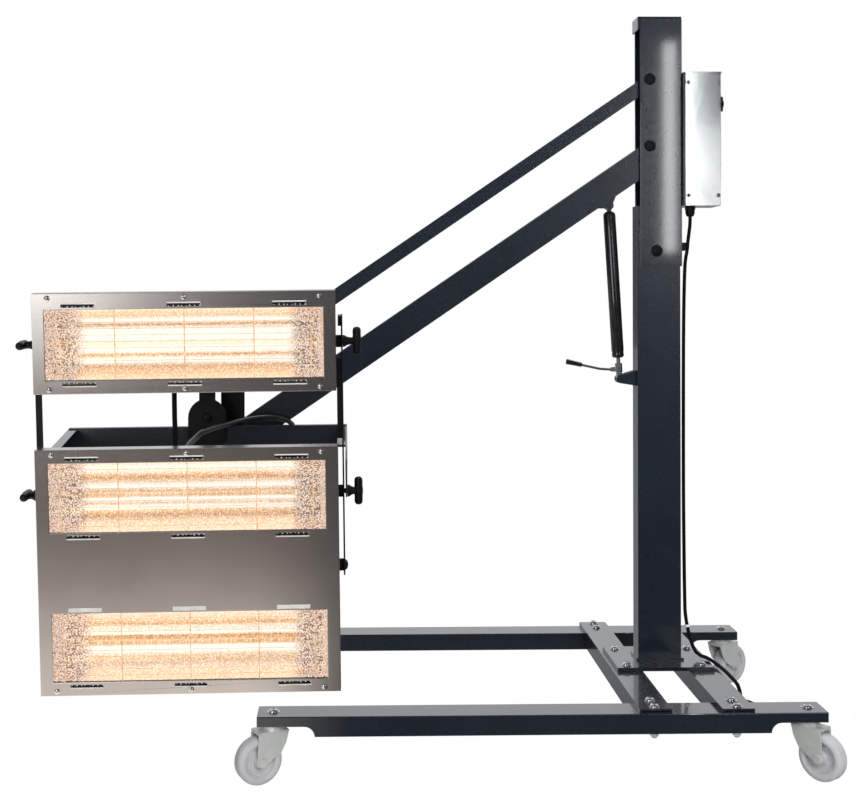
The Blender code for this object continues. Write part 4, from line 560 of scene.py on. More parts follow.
class Paintbox:
    """All finishes of the lamp, each built when first used."""

    def __init__(self) -> None:
        """Describe the finishes."""
        self.effects = SharedEffects()
        self.built: dict[str, bpy.types.Material] = {}
        self.finishes = {finish.name: finish for finish in (
            Finish("blue_grey_gloss_paint", "paint", (0.0065, 0.0100, 0.0155),
                   (0.0090, 0.0135, 0.0200), gloss=(0.24, 0.28), grain_scale=70.0,
                   patch_scale=5.0, bump=0.003, coat=0.8, coat_gloss=0.06),
            Finish("panel_stainless", "stainless", (0.52, 0.49, 0.47), (0.60, 0.565, 0.545),
                   metallic=1.0, gloss=(0.24, 0.26), stretch=(0.04, 1.0, 1.0),
                   grain_scale=500.0, patch_scale=4.0, bump=0.0015),
            Finish("cover_stainless", "stainless", (0.54, 0.56, 0.57), (0.62, 0.64, 0.65),
                   metallic=1.0, gloss=(0.10, 0.14), stretch=(1.0, 1.0, 0.06),
                   grain_scale=500.0, patch_scale=8.0, bump=0.004),
            Finish("housing_steel", "housing", (0.30, 0.30, 0.30), (0.40, 0.40, 0.40),
                   metallic=1.0, gloss=(0.34, 0.46), stretch=(0.02, 1.0, 1.0),
                   grain_scale=700.0, bump=0.06),
            Finish("satin_black_paint", "black_steel", (0.0022, 0.0020, 0.0024),
                   (0.0045, 0.0042, 0.0048), gloss=(0.38, 0.50), grain_scale=500.0, bump=0.1,
                   specular=0.3),
            Finish("moulded_black_plastic", "black_plastic", (0.0025, 0.0025, 0.0030),
                   (0.0050, 0.0050, 0.0058), gloss=(0.34, 0.46), grain_scale=1400.0, bump=0.15,
                   specular=0.35),
            Finish("gloss_black_paint", "black_plastic", (0.004, 0.004, 0.005),
                   (0.008, 0.008, 0.009), gloss=(0.14, 0.20), bump=0.02, coat=0.8,
                   coat_gloss=0.05),
            Finish("cable_sheath", "rubber", (0.003, 0.003, 0.0035), (0.006, 0.006, 0.0065),
                   gloss=(0.44, 0.56), grain_scale=1600.0, bump=0.1, specular=0.12),
            Finish("plain_gold", "gold", (0.20, 0.12, 0.05), (0.28, 0.18, 0.08),
                   metallic=1.0, gloss=(0.4, 0.5), patch_scale=40.0),
            Finish("grey_heat_sheath", "rubber", (0.012, 0.012, 0.011), (0.022, 0.021, 0.020),
                   gloss=(0.14, 0.24), grain_scale=2200.0, bump=0.2, coat=0.4,
                   coat_gloss=0.10, specular=0.3),
            Finish("zinc_plate", "zinc", (0.66, 0.68, 0.69), (0.74, 0.76, 0.77),
                   metallic=1.0, gloss=(0.16, 0.26), grain_scale=260.0, patch_scale=60.0,
                   bump=0.05),
            Finish("zinc_pressing", "zinc", (0.60, 0.62, 0.59), (0.66, 0.68, 0.65),
                   metallic=0.45, gloss=(0.32, 0.44), grain_scale=260.0, patch_scale=40.0,
                   bump=0.06),
            Finish("lit_lip", "stainless", (0.52, 0.50, 0.47), (0.62, 0.60, 0.57),
                   metallic=0.1, gloss=(0.4, 0.5), patch_scale=80.0, bump=0.04),
            # Grille wires and posts that glow with painted lamplight.
            Glow("grille_wire", "zinc", (0.36, 0.20, 0.10), (0.60, 0.42, 0.26), 0.60),
            Glow("grille_post", "zinc", (0.13, 0.065, 0.035), (0.24, 0.13, 0.07), 0.50),
            Finish("grey_tyre", "tyre", (0.40, 0.40, 0.42), (0.47, 0.47, 0.49),
                   gloss=(0.45, 0.62), grain_scale=700.0, patch_scale=26.0, bump=0.15),
            Finish("grey_hub_nylon", "tyre", (0.055, 0.06, 0.065), (0.085, 0.09, 0.10),
                   gloss=(0.32, 0.46), grain_scale=500.0, patch_scale=30.0, bump=0.1),
            Finish("pale_nylon", "pale_plastic", (0.66, 0.66, 0.63), (0.78, 0.78, 0.75),
                   gloss=(0.35, 0.5), grain_scale=900.0, bump=0.1),
            Finish("lamp_ceramic", "quartz", (0.62, 0.52, 0.42), (0.78, 0.70, 0.60),
                   gloss=(0.5, 0.7), grain_scale=900.0, bump=0.3),
            Finish("brass_terminal", "zinc", (0.50, 0.36, 0.14), (0.62, 0.46, 0.20),
                   metallic=1.0, gloss=(0.3, 0.45)),
            # Hammered reflectors that glow with painted lamplight, in bands.
            GlowingReflector("lit_gold_lower", LOWER_BANDS),
            GlowingReflector("lit_gold_middle", MIDDLE_BANDS),
            GlowingReflector("lit_gold_upper", UPPER_BANDS),
            # End plates that glow with painted lamplight, warm on the left and pale on the
            # right.
            Glow("warm_painted_lamplight_end_plate", "gold", (0.60, 0.28, 0.11), (0.84, 0.47, 0.23), 0.8),
            Glow("pale_painted_lamplight_end_plate", "gold", (0.55, 0.38, 0.28), (0.95, 0.82, 0.70), 0.9),
            Glow("hot_filament", "quartz", (1.0, 0.90, 0.70), (1.0, 0.95, 0.82), 1.6),
            QuartzGlass())}

    def material(self, name: str) -> bpy.types.Material:
        """Look up a material, built at its first use.

        Args:
            name: the finish's name.

        Returns:
            The material.
        """
        if name not in self.built:
            self.built[name] = self.finishes[name].make(self.effects)
        return self.built[name]

    def dress(self, piece: bpy.types.Object, *names: str) -> None:
        """Give a new piece its finishes.

        Args:
            piece: the new piece.
            names: its finishes, by material index.
        """
        piece.data.materials.clear()
        for name in names:
            piece.data.materials.append(self.material(name))

    def dress_node(self, node: bpy.types.Object, name: str) -> None:
        """Give a CAD node its finish.

        Args:
            node: the node's object.
            name: the finish's name.
        """
        if not node.material_slots:
            node.data.materials.append(self.material(name))
        for slot in node.material_slots:
            slot.material = self.material(name)


def scaled(outline: Outline, radius: float, height: float) -> list[tuple[float, float]]:
    """An outline that is given in shares, at its real radius and height."""
    return [(radius * across, height * up) for across, up in outline]


def corners_of(faces: Sequence[bmesh.types.BMFace]) -> list[bmesh.types.BMVert]:
    """Every corner of some faces, once."""
    return list({vert for face in faces for vert in face.verts})


class Shape:
    """A bmesh under construction, with the operators that this lamp's pieces need."""

    merge_distance: ClassVar[float] = 1e-6
    ease_segments: ClassVar[int] = 3
    ease_angles: ClassVar[tuple[float, float]] = (math.pi / 6, math.pi / 3)
    screw_outline: ClassVar[Outline] = (
        (0, 0), (1.22, 0), (1.22, 0.16), (1, 0.16), (0.97, 0.46), (0.78, 0.82), (0.46, 1),
        (0.40, 1), (0.36, 0.55), (0, 0.55))
    screw_steps: ClassVar[int] = 24
    washer_radius: ClassVar[float] = 1.2
    washer_height: ClassVar[float] = 0.12
    hexagon_outline: ClassVar[Outline] = ((0, 0), (1, 0), (1, 0.45), (0.86, 0.5), (0, 0.5))
    dome_radius: ClassVar[float] = 0.78
    dome_foot: ClassVar[float] = 0.4
    dome_rise: ClassVar[float] = 0.48
    dome_steps: ClassVar[int] = 6

    def __init__(self) -> None:
        """Start an empty shape."""
        self.bm = bmesh.new()

    def new_faces(self, old: set[bmesh.types.BMFace]) -> list[bmesh.types.BMFace]:
        """Faces that weren't there when the old ones were noted."""
        return [face for face in self.bm.faces if face not in old]

    def turned(self, profile: Sequence[tuple[float, float]], place: Sequence[float],
               along: Sequence[float], steps: int = 32, closed: bool = False,
               index: int = 0) -> None:
        """Spin a profile round an axis.

        Args:
            profile: radius and height of each point, the height counted along the axis.
            place: where the axis starts.
            along: the axis's direction.
            steps: sides round the axis.
            closed: whether the profile's last point joins its first.
            index: the faces' material index.
        """
        old = set(self.bm.faces)
        corners = [self.bm.verts.new((radius, 0, height)) for radius, height in profile]
        lines = [self.bm.edges.new(pair) for pair in zip(corners, corners[1:])]
        if closed:
            lines.append(self.bm.edges.new((corners[-1], corners[0])))
        bmesh.ops.spin(self.bm, geom=corners + lines, cent=(0, 0, 0), axis=Axis.Z.value,
                       angle=2 * math.pi, steps=steps, use_merge=True, use_duplicate=False)
        bmesh.ops.remove_doubles(self.bm, verts=corners_of(self.new_faces(old)),
                                 dist=self.merge_distance)
        faces = self.new_faces(old)
        turn = Vector(Axis.Z.value).rotation_difference(Vector(along)).to_matrix().to_4x4()
        bmesh.ops.transform(self.bm, matrix=Matrix.Translation(place) @ turn,
                            verts=corners_of(faces))
        bmesh.ops.recalc_face_normals(self.bm, faces=faces)
        for face in faces:
            face.material_index = index

    def bar(self, start: Sequence[float], end: Sequence[float], radius: float,
            edge: float = 0.0, steps: int = 24, index: int = 0) -> None:
        """A round bar with eased ends.

        Args:
            start: centre of one end.
            end: centre of the other end.
            radius: the bar's radius.
            edge: radius of its eased ends.
            steps: sides round the bar.
            index: the faces' material index.
        """
        line = Vector(end) - Vector(start)
        length = line.length
        if edge:
            flat = radius - edge
            foot = [(flat + edge * math.sin(t), edge - edge * math.cos(t))
                    for t in self.ease_angles]
            head = [(flat + edge * math.cos(t), length - edge + edge * math.sin(t))
                    for t in self.ease_angles]
            profile = [(0, 0), (flat, 0), *foot, (radius, edge), (radius, length - edge),
                       *head, (flat, length), (0, length)]
        else:
            profile = [(0, 0), (radius, 0), (radius, length), (0, length)]
        self.turned(profile, start, line, steps, index=index)

    def block(self, low: Sequence[float], high: Sequence[float], edge: float = 0.0,
              matrix: Matrix | None = None, index: int = 0) -> None:
        """A box with eased edges.

        Args:
            low: lowest corner.
            high: highest corner.
            edge: width of the eased edges.
            matrix: where the box stands, if its corners are in another frame.
            index: the faces' material index.
        """
        old = set(self.bm.faces)
        made = bmesh.ops.create_cube(self.bm, size=1.0)["verts"]
        low, high = Vector(low), Vector(high)
        bmesh.ops.scale(self.bm, vec=high - low, verts=made)
        bmesh.ops.translate(self.bm, vec=(low + high) / 2, verts=made)
        if edge:
            lines = list({line for vert in made for line in vert.link_edges})
            bmesh.ops.bevel(self.bm, geom=lines, offset=edge, offset_type="OFFSET",
                            segments=self.ease_segments, profile=0.5, affect="EDGES",
                            material=-1)
        faces = self.new_faces(old)
        if matrix:
            bmesh.ops.transform(self.bm, matrix=matrix, verts=corners_of(faces))
        for face in faces:
            face.material_index = index

    def button_screw(self, place: Sequence[float], along: Sequence[float], radius: float,
                     height: float) -> None:
        """A button head on its washer, with a socket.

        Args:
            place: where the washer lies.
            along: direction the head points in.
            radius: the head's radius.
            height: height of washer and head.
        """
        self.turned(scaled(self.screw_outline, radius, height), place, along,
                    steps=self.screw_steps)

    def dome_nut(self, place: Sequence[float], along: Sequence[float], radius: float,
                 height: float) -> None:
        """A domed nut on its washer.

        Args:
            place: where the washer lies.
            along: direction the dome points in.
            radius: radius over the nut's corners.
            height: height of washer, hexagon and dome.
        """
        rim, washer = radius * self.washer_radius, height * self.washer_height
        self.turned([(0, 0), (rim, 0), (rim, washer), (0, washer)], place, along, steps=24)
        start = Vector(place) + Vector(along).normalized() * washer
        self.turned(scaled(self.hexagon_outline, radius, height), start, along, steps=6)
        cap = radius * self.dome_radius
        angles = [math.pi / 2 * i / self.dome_steps for i in range(self.dome_steps)]
        dome = [(cap * math.cos(t), height * (self.dome_foot + self.dome_rise * math.sin(t)))
                for t in angles]
        top = (0, height * (self.dome_foot + self.dome_rise))
        self.turned([(0, 0), (cap, 0), *dome, top], start, along, steps=24)

    def object(self, name: str, matrix: Matrix | None = None) -> bpy.types.Object:
        """Finish the shape.

        Args:
            name: name of the piece.
            matrix: where the piece stands, if it was built in another frame.

        Returns:
            The new object, at the origin, with its place in its mesh.
        """
        if matrix:
            bmesh.ops.transform(self.bm, matrix=matrix, verts=self.bm.verts)
        mesh = bpy.data.meshes.new(name)
        self.bm.to_mesh(mesh)
        self.bm.free()
        mesh.shade_smooth()
        mesh.set_sharp_from_angle(angle=SHARP_ANGLE)
        piece = bpy.data.objects.new(name, mesh)
        bpy.context.scene.collection.objects.link(piece)
        return piece


def tube(name: str, points: Sequence[Vector], radius: float) -> bpy.types.Object:
    """A round tube along points, as a curve.

    Args:
        name: name of the piece.
        points: places along its middle.
        radius: its radius.

    Returns:
        The curve object.
    """
    data = bpy.data.curves.new(name, "CURVE")
    data.dimensions = "3D"
    data.bevel_depth = radius
    data.bevel_resolution = CORD_ROUNDNESS
    data.use_fill_caps = True
    line = data.splines.new("POLY")
    line.points.add(len(points) - 1)
    for spot, place in zip(line.points, points):
        spot.co = (*place, 1)
    line.use_smooth = True
    piece = bpy.data.objects.new(name, data)
    bpy.context.scene.collection.objects.link(piece)
    return piece


def smooth_route(points: Sequence[Sequence[float]], spacing: float) -> list[Vector]:
    """Evenly spaced points of a smooth curve through the route's own points.

    Args:
        points: the route; its first and last stretch stay straight.
        spacing: distance between the new points.

    Returns:
        The new points.
    """
    places = [Vector(point) for point in points]
    fine_steps = 24
    fine = []
    for i in range(1, len(places) - 2):
        before, here, there, after = places[i - 1:i + 3]
        if i == 1:
            before = here + (before - here).normalized() * (there - here).length
        if i == len(places) - 3:
            after = there + (after - there).normalized() * (there - here).length
        for j in range(fine_steps):
            t = j / fine_steps
            fine.append(((2 * here) + (there - before) * t
                         + (2 * before - 5 * here + 4 * there - after) * t ** 2
                         + (3 * here - before - 3 * there + after) * t ** 3) / 2)
    fine.append(places[-2])
    lengths = [0.0]
    for a, b in zip(fine, fine[1:]):
        lengths.append(lengths[-1] + (b - a).length)
    count = max(2, round(lengths[-1] / spacing))
    even = [places[0]]
    j = 0
    for i in range(count):
        target = lengths[-1] * i / count
        while lengths[j + 1] < target:
            j += 1
        share = (target - lengths[j]) / (lengths[j + 1] - lengths[j])
        even.append(fine[j].lerp(fine[j + 1], share))
    return even + places[-2:]


@dataclass(frozen=True)
class SoftBox:
    """One soft light: its place, where it points, its size and its watts."""

    name: str
    place: Triple
    target: Triple
    width: float
    height: float
    power: float
    mirrored: bool

    def build(self) -> None:
        """Hang the light, which glossy surfaces show only where it is mirrored."""
        data = bpy.data.lights.new(self.name, "AREA")
        data.shape = "RECTANGLE"
        data.size = self.width
        data.size_y = self.height
        data.energy = self.power
        light = bpy.data.objects.new(self.name, data)
        light.location = self.place
        look = Vector(self.target) - Vector(self.place)
        light.rotation_euler = look.to_track_quat("-Z", "Y").to_euler()
        light.visible_glossy = self.mirrored
        light.visible_camera = False
        bpy.context.scene.collection.objects.link(light)


@dataclass(frozen=True)
class Studio:
    """Camera, lights, floor and surroundings."""

    image_width: float = 856.0
    image_height: float = 800.0
    focal_pixels: float = 1303.85
    centre_column: float = 378.6
    centre_row: float = 289.3
    sensor: float = 36.0
    nearest: float = 0.05
    farthest: float = 60.0
    place: Triple = (-0.16762, -2.84150, 0.96561)
    yaw: float = math.radians(1.1748)
    pitch: float = math.radians(0.149)
    roll: float = math.radians(-0.09)
    floor_half: float = 20.0
    floor_drop: float = 0.001
    floor_colour: Triple = (0.7, 0.7, 0.7)
    floor_roughness: float = 0.7
    floor_depths: tuple[float, float] = (-4.0, 2.0)
    head_side: tuple[float, float] = (-0.36, -0.18)
    under_base: Stops = (
        (0.30, (0.06, 0.065, 0.07)), (0.62, (0.06, 0.063, 0.068)),
        (0.70, (0.20, 0.21, 0.23)), (0.85, (0.30, 0.31, 0.33)))
    # Warm bright band of painted light on the floor under the head, which only glossy surfaces
    # see.
    painted_light_under_head: Stops = (
        (0.10, (0.11, 0.095, 0.09)), (0.38, (0.22, 0.185, 0.17)),
        (0.49, (1.00, 0.92, 0.86)), (0.60, (1.25, 1.16, 1.08)),
        (0.66, (0.30, 0.30, 0.31)), (0.85, (0.30, 0.31, 0.33)))
    room: Stops = (
        (0.0, (0.13, 0.13, 0.135)), (0.30, (0.07, 0.075, 0.08)),
        (0.50, (0.20, 0.215, 0.235)), (0.70, (0.78, 0.80, 0.83)),
        (1.0, (0.92, 0.93, 0.95)))
    room_low: Triple = (0.10, 0.11, 0.13)
    room_heights: tuple[float, float] = (0.06, 0.24)
    lights: tuple[SoftBox, ...] = (
        SoftBox("key_softbox", (1.0, -3.8, 2.4), (0.1, 0, 0.6), 2.4, 2.0, 150.0, False),
        SoftBox("top_softbox", (0.0, -0.6, 3.8), (0, 0, 0.4), 2.6, 2.0, 60.0, False),
        SoftBox("head_card", (-1.85, -3.3, 1.15), (-0.6, 0, 0.9), 1.5, 1.5, 20.0, True),
        SoftBox("mast_strip", (1.275, -3.0, 1.62), (0.53, 0, 1.3), 0.055, 0.95, 2.7, True),
        SoftBox("box_card", (1.74, -3.0, 1.22), (0.6, 0, 1.2), 0.76, 1.00, 2.3, True))

    def build(self) -> None:
        """Set up everything round the object."""
        self.build_camera()
        self.build_floor()
        self.build_world()
        for light in self.lights:
            light.build()
        bpy.context.scene.view_settings.view_transform = "Standard"

    def build_camera(self) -> None:
        """Place the camera where the photograph was taken from."""
        data = bpy.data.cameras.new("photo_camera")
        data.sensor_fit = "HORIZONTAL"
        data.sensor_width = self.sensor
        data.lens = self.focal_pixels / self.image_width * self.sensor
        data.shift_x = (self.image_width / 2 - self.centre_column) / self.image_width
        data.shift_y = (self.centre_row - self.image_height / 2) / self.image_width
        data.clip_start = self.nearest
        data.clip_end = self.farthest
        camera = bpy.data.objects.new("photo_camera", data)
        bpy.context.scene.collection.objects.link(camera)
        right = Vector((math.cos(self.yaw), -math.sin(self.yaw), 0))
        level = Vector((math.sin(self.yaw), math.cos(self.yaw), 0))
        ahead = level * math.cos(self.pitch) + Vector((0, 0, math.sin(self.pitch)))
        up = right.cross(ahead)
        across = right * math.cos(self.roll) + up * math.sin(self.roll)
        over = up * math.cos(self.roll) - right * math.sin(self.roll)
        turn = Matrix((across, over, -ahead)).transposed().to_4x4()
        camera.matrix_world = Matrix.Translation(self.place) @ turn
        bpy.context.scene.camera = camera

    def build_floor(self) -> None:
        """A pale floor that the camera sees as the white of the background."""
        shape = Shape()
        bmesh.ops.create_grid(shape.bm, x_segments=1, y_segments=1, size=self.floor_half)
        floor = shape.object("floor", Matrix.Translation((0, 0, -self.floor_drop)))
        board = Board("studio_floor")
        board.set(Base_Color=(*self.floor_colour, 1), Roughness=self.floor_roughness)
        seen = board.add("Emission", Color=(*WHITE, 1), Strength=1.0)
        path = board.add("LightPath")
        reflected = board.add("MixShader")
        board.join(path.outputs["Is Glossy Ray"], reflected.inputs["Fac"])
        board.join(board.shader.outputs["BSDF"], reflected.inputs[1])
        # Glossy rays see the floor's painted reflection.
        board.join(self.add_painted_floor_reflection(board).outputs["Emission"], reflected.inputs[2])
        mix = board.add("MixShader")
        board.join(path.outputs["Is Camera Ray"], mix.inputs["Fac"])
        board.join(reflected.outputs["Shader"], mix.inputs[1])
        board.join(seen.outputs["Emission"], mix.inputs[2])
        output = board.tree.nodes["Material Output"]
        board.join(mix.outputs["Shader"], output.inputs["Surface"])
        floor.data.materials.append(board.material)

    def add_painted_floor_reflection(self, board: Board) -> bpy.types.Node:
        """Painted reflection of the floor for glossy surfaces: a warm bright band of painted
        light under the head, and a floor that is darker in front of the base.

        Args:
            board: the floor material's board.

        Returns:
            The Emission node.
        """
        near, far = self.floor_depths
        under_head_only, under_base_only = self.head_side
        place = board.add("TexCoord")
        parts = board.add("SeparateXYZ")
        depth = board.add("MapRange", From_Min=near, From_Max=far)
        under_base = board.add("ValToRGB")
        fill_ramp(under_base, self.under_base)
        painted_light_under_head = board.add("ValToRGB")
        fill_ramp(painted_light_under_head, self.painted_light_under_head)
        side = board.add("MapRange", From_Min=under_head_only, From_Max=under_base_only)
        both = board.add("Mix", data_type="RGBA")
        mirrored = board.add("Emission", Strength=1.0)
        board.join(place.outputs["Object"], parts.inputs["Vector"])
        board.join(parts.outputs["Y"], depth.inputs["Value"])
        board.join(parts.outputs["X"], side.inputs["Value"])
        board.join(depth.outputs["Result"], under_base.inputs["Fac"])
        board.join(depth.outputs["Result"], painted_light_under_head.inputs["Fac"])
        board.join(side.outputs["Result"], both.inputs["Factor"])
        board.join(painted_light_under_head.outputs["Color"], both.inputs[MIX_FIRST])
        board.join(under_base.outputs["Color"], both.inputs[MIX_SECOND])
        board.join(both.outputs[MIX_RESULT], mirrored.inputs["Color"])
        return mirrored

    def build_world(self) -> None:
        """White behind the object, and a soft grey room round it."""
        world = bpy.data.worlds.new("studio")
        bpy.context.scene.world = world
        world.use_nodes = True
        tree = world.node_tree
        light = tree.nodes["Background"]
        white = add_node(tree, "Background", Color=(*WHITE, 1), Strength=1.0)
        path = add_node(tree, "LightPath")
        mix = add_node(tree, "MixShader")
        place = add_node(tree, "TexCoord")
        parts = add_node(tree, "SeparateXYZ")
        depth = add_node(tree, "MapRange", From_Min=-1.0, From_Max=1.0)
        ramp = add_node(tree, "ValToRGB")
        fill_ramp(ramp, self.room)
        low, high = self.room_heights
        height = add_node(tree, "MapRange", From_Min=low, From_Max=high)
        level = add_node(tree, "Mix", data_type="RGBA")
        level.inputs[MIX_FIRST].default_value = (*self.room_low, 1)
        link = tree.links.new
        link(place.outputs["Generated"], parts.inputs["Vector"])
        link(parts.outputs["Y"], depth.inputs["Value"])
        link(parts.outputs["Z"], height.inputs["Value"])
        link(depth.outputs["Result"], ramp.inputs["Fac"])
        link(height.outputs["Result"], level.inputs["Factor"])
        link(ramp.outputs["Color"], level.inputs[MIX_SECOND])
        link(level.outputs[MIX_RESULT], light.inputs["Color"])
        link(path.outputs["Is Camera Ray"], mix.inputs["Fac"])
        link(light.outputs["Background"], mix.inputs[1])
        link(white.outputs["Background"], mix.inputs[2])
        link(mix.outputs["Shader"], tree.nodes["World Output"].inputs["Surface"])


@dataclass
class Crew:
    """What every sub-assembly needs: the finishes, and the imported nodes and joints."""

    paints: Paintbox
    nodes: dict[str, bpy.types.Object]
    joints: dict[str, dict]

    def place(self, piece: bpy.types.Object, body: str, finishes: Sequence[str],
              replaces: Sequence[str] = ()) -> bpy.types.Object:
        """Dress a piece, put it on its body and report it.

        Args:
            piece: the new piece.
            body: the body that it rides on.
            finishes: its finishes, by material index.
            replaces: CAD nodes that it stands for.

        Returns:
            The piece.
        """
        self.paints.dress(piece, *finishes)
        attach(piece, body)
        if replaces:
            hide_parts(*replaces)
        LOG.info("%s on %s", piece.name, body)
        return piece


@dataclass
class MainsCable:
    """Mains cable from its gland to the coil and plug on the floor."""

    crew: Crew
    radius: float = 0.004
    gland: Triple = (0.076, 0.0, 1.166)
    gland_length: float = 0.0215
    spacing: float = 0.012
    coil_place: tuple[float, float] = (0.190, 0.043)
    coil_outer: float = 0.0505
    pitch: float = 0.0086
    turns: int = 3
    layers: int = 4
    loop_points: int = 24
    floor: float = 0.010
    plug: Triple = (0.122, -0.005, 0.0273)
    boot_length: float = 0.014
    tail_share: float = 0.55
    tail_spacing: float = 0.0096
    route: tuple[Triple, ...] = (
        (0.075, 0.000, 1.120), (0.0705, 0.000, 1.085), (0.0695, 0.000, 1.070),
        (0.064, 0.000, 1.030), (0.061, 0.000, 0.900), (0.060, 0.000, 0.700),
        (0.060, 0.000, 0.500), (0.062, 0.000, 0.300), (0.064, -0.003, 0.250),
        (0.072, -0.012, 0.205), (0.084, -0.020, 0.177), (0.104, -0.035, 0.170),
        (0.118, -0.060, 0.163), (0.124, -0.100, 0.160), (0.127, -0.140, 0.157),
        (0.131, -0.168, 0.150), (0.132, -0.184, 0.130), (0.131, -0.184, 0.100),
        (0.132, -0.165, 0.072), (0.135, -0.125, 0.053), (0.139, -0.080, 0.044),
        (0.1415, -0.020, 0.040))
    boot_radius: float = 0.0065
    plug_outline: Outline = (
        (0.0075, -0.006), (0.0080, 0.0), (0.0120, 0.001), (0.0150, 0.007), (0.0162, 0.016),
        (0.0158, 0.022), (0.0166, 0.024), (0.0170, 0.030), (0.0170, 0.045), (0.0160, 0.048),
        (0, 0.048))
    rib_outline: Outline = (
        (0.0084, 0), (0.0088, 0.0006), (0.0084, 0.0012), (0.006, 0.0012), (0.006, 0))
    ribs: int = 5
    first_rib: float = 0.002
    rib_pitch: float = 0.0022
    pin_foot: float = 0.047
    pin_spread: float = 0.0095
    pin_length: float = 0.0195
    pin_radius: float = 0.0024
    pin_edge: float = 0.0009

    def coil_points(self) -> list[Vector]:
        """Turns of the coil, in layers that wind inwards and outwards by turns.

        Returns:
            Points from the plug's side up to where the cable lands.
        """
        per_layer = self.turns * self.loop_points
        total = self.layers * per_layer - self.loop_points // 4
        climb = self.loop_points / 4
        points = []
        for i in range(total + 1):
            layer, step = divmod(i, per_layer)
            inward = self.pitch * step / self.loop_points
            if layer % 2:
                inward = self.pitch * self.turns - inward
            rise = float(layer)
            if step < climb and layer > 0:
                rise -= (climb - step) / (2 * climb)
            elif per_layer - step < climb and layer < self.layers - 1:
                rise += (climb - (per_layer - step)) / (2 * climb)
            angle = -math.pi / 2 + 2 * math.pi * i / self.loop_points
            reach = self.coil_outer - inward
            points.append(Vector((self.coil_place[0] + reach * math.cos(angle),
                                  self.coil_place[1] + reach * math.sin(angle),
                                  self.floor + self.radius + GAP + rise * self.pitch)))
        return points

    def cable_points(self) -> list[Vector]:
        """The whole cable.

        Returns:
            Points from its gland down to the coil and on to the plug's boot.
        """
        turns = self.coil_points()
        straight = 2 * self.radius
        mouth = Vector(self.plug) + Vector((self.boot_length + GAP, 0, 0))
        sag = mouth.lerp(turns[0], self.tail_share) - Vector((0, 0, self.radius / 2))
        tail = smooth_route([mouth, mouth + Vector((straight, 0, 0)), sag,
                             turns[0] - Vector((straight, 0, 0))], self.tail_spacing)
        leaving = (turns[-1] - turns[-2]).normalized()
        leaving.z = 0
        coil_end = turns[-1] + leaving * straight
        exit_place = Vector(self.gland) - Vector((0, 0, self.gland_length + 2 * GAP))
        landing = coil_end + leaving * GAP
        down = smooth_route([exit_place, exit_place - Vector((0, 0, straight)), *self.route,
                             landing + leaving * straight, landing], self.spacing)
        return [point + MAST for point in down + [coil_end] + list(reversed(tail + turns))]

    def build(self) -> None:
        """Make the cable with its plug."""
        points = self.cable_points()
        cable = tube("mains_cable_run", points, self.radius)
        self.crew.place(cable, Body.BASE.value, ["cable_sheath"],
                        ["mains_cable", "mains_cable_coil"])
        plug = self.build_plug()

    def build_plug(self) -> bpy.types.Object:
        """Round moulded plug with its boot, ribs and pins.

        Returns:
            The plug's object.
        """
        shape = Shape()
        place = Vector(self.plug) + MAST
        back = Vector((-1, 0, 0))
        shape.turned([(0, -self.boot_length), (self.boot_radius, -self.boot_length),
                      *self.plug_outline], place, back, steps=40)
        for i in range(self.ribs):
            shape.turned(self.rib_outline, place - back * (self.first_rib + self.rib_pitch * i),
                         -back, steps=24, closed=True)
        for side in (-1, 1):
            start = place + Vector((-self.pin_foot, side * self.pin_spread, 0))
            shape.bar(start, start - Vector((self.pin_length, 0, 0)), self.pin_radius,
                      self.pin_edge, steps=16, index=1)
        return self.crew.place(shape.object("mains_plug_moulding"), Body.BASE.value,
                               ["moulded_black_plastic", "zinc_plate"], ["mains_plug"])


@dataclass(frozen=True)
class Cassette:
    """Front panel of one cassette, with heights in the head's own sizes."""

    name: str
    body: Body
    bottom: float
    top: float
    windows: tuple[float, ...]


LOWER_CASSETTE = Cassette("lower", Body.HEAD, -0.367, 0.103, (-0.275, 0.011))
UPPER_CASSETTE = Cassette("upper", Body.UPPER_CASSETTE, 0.208, 0.397, (0.300,))


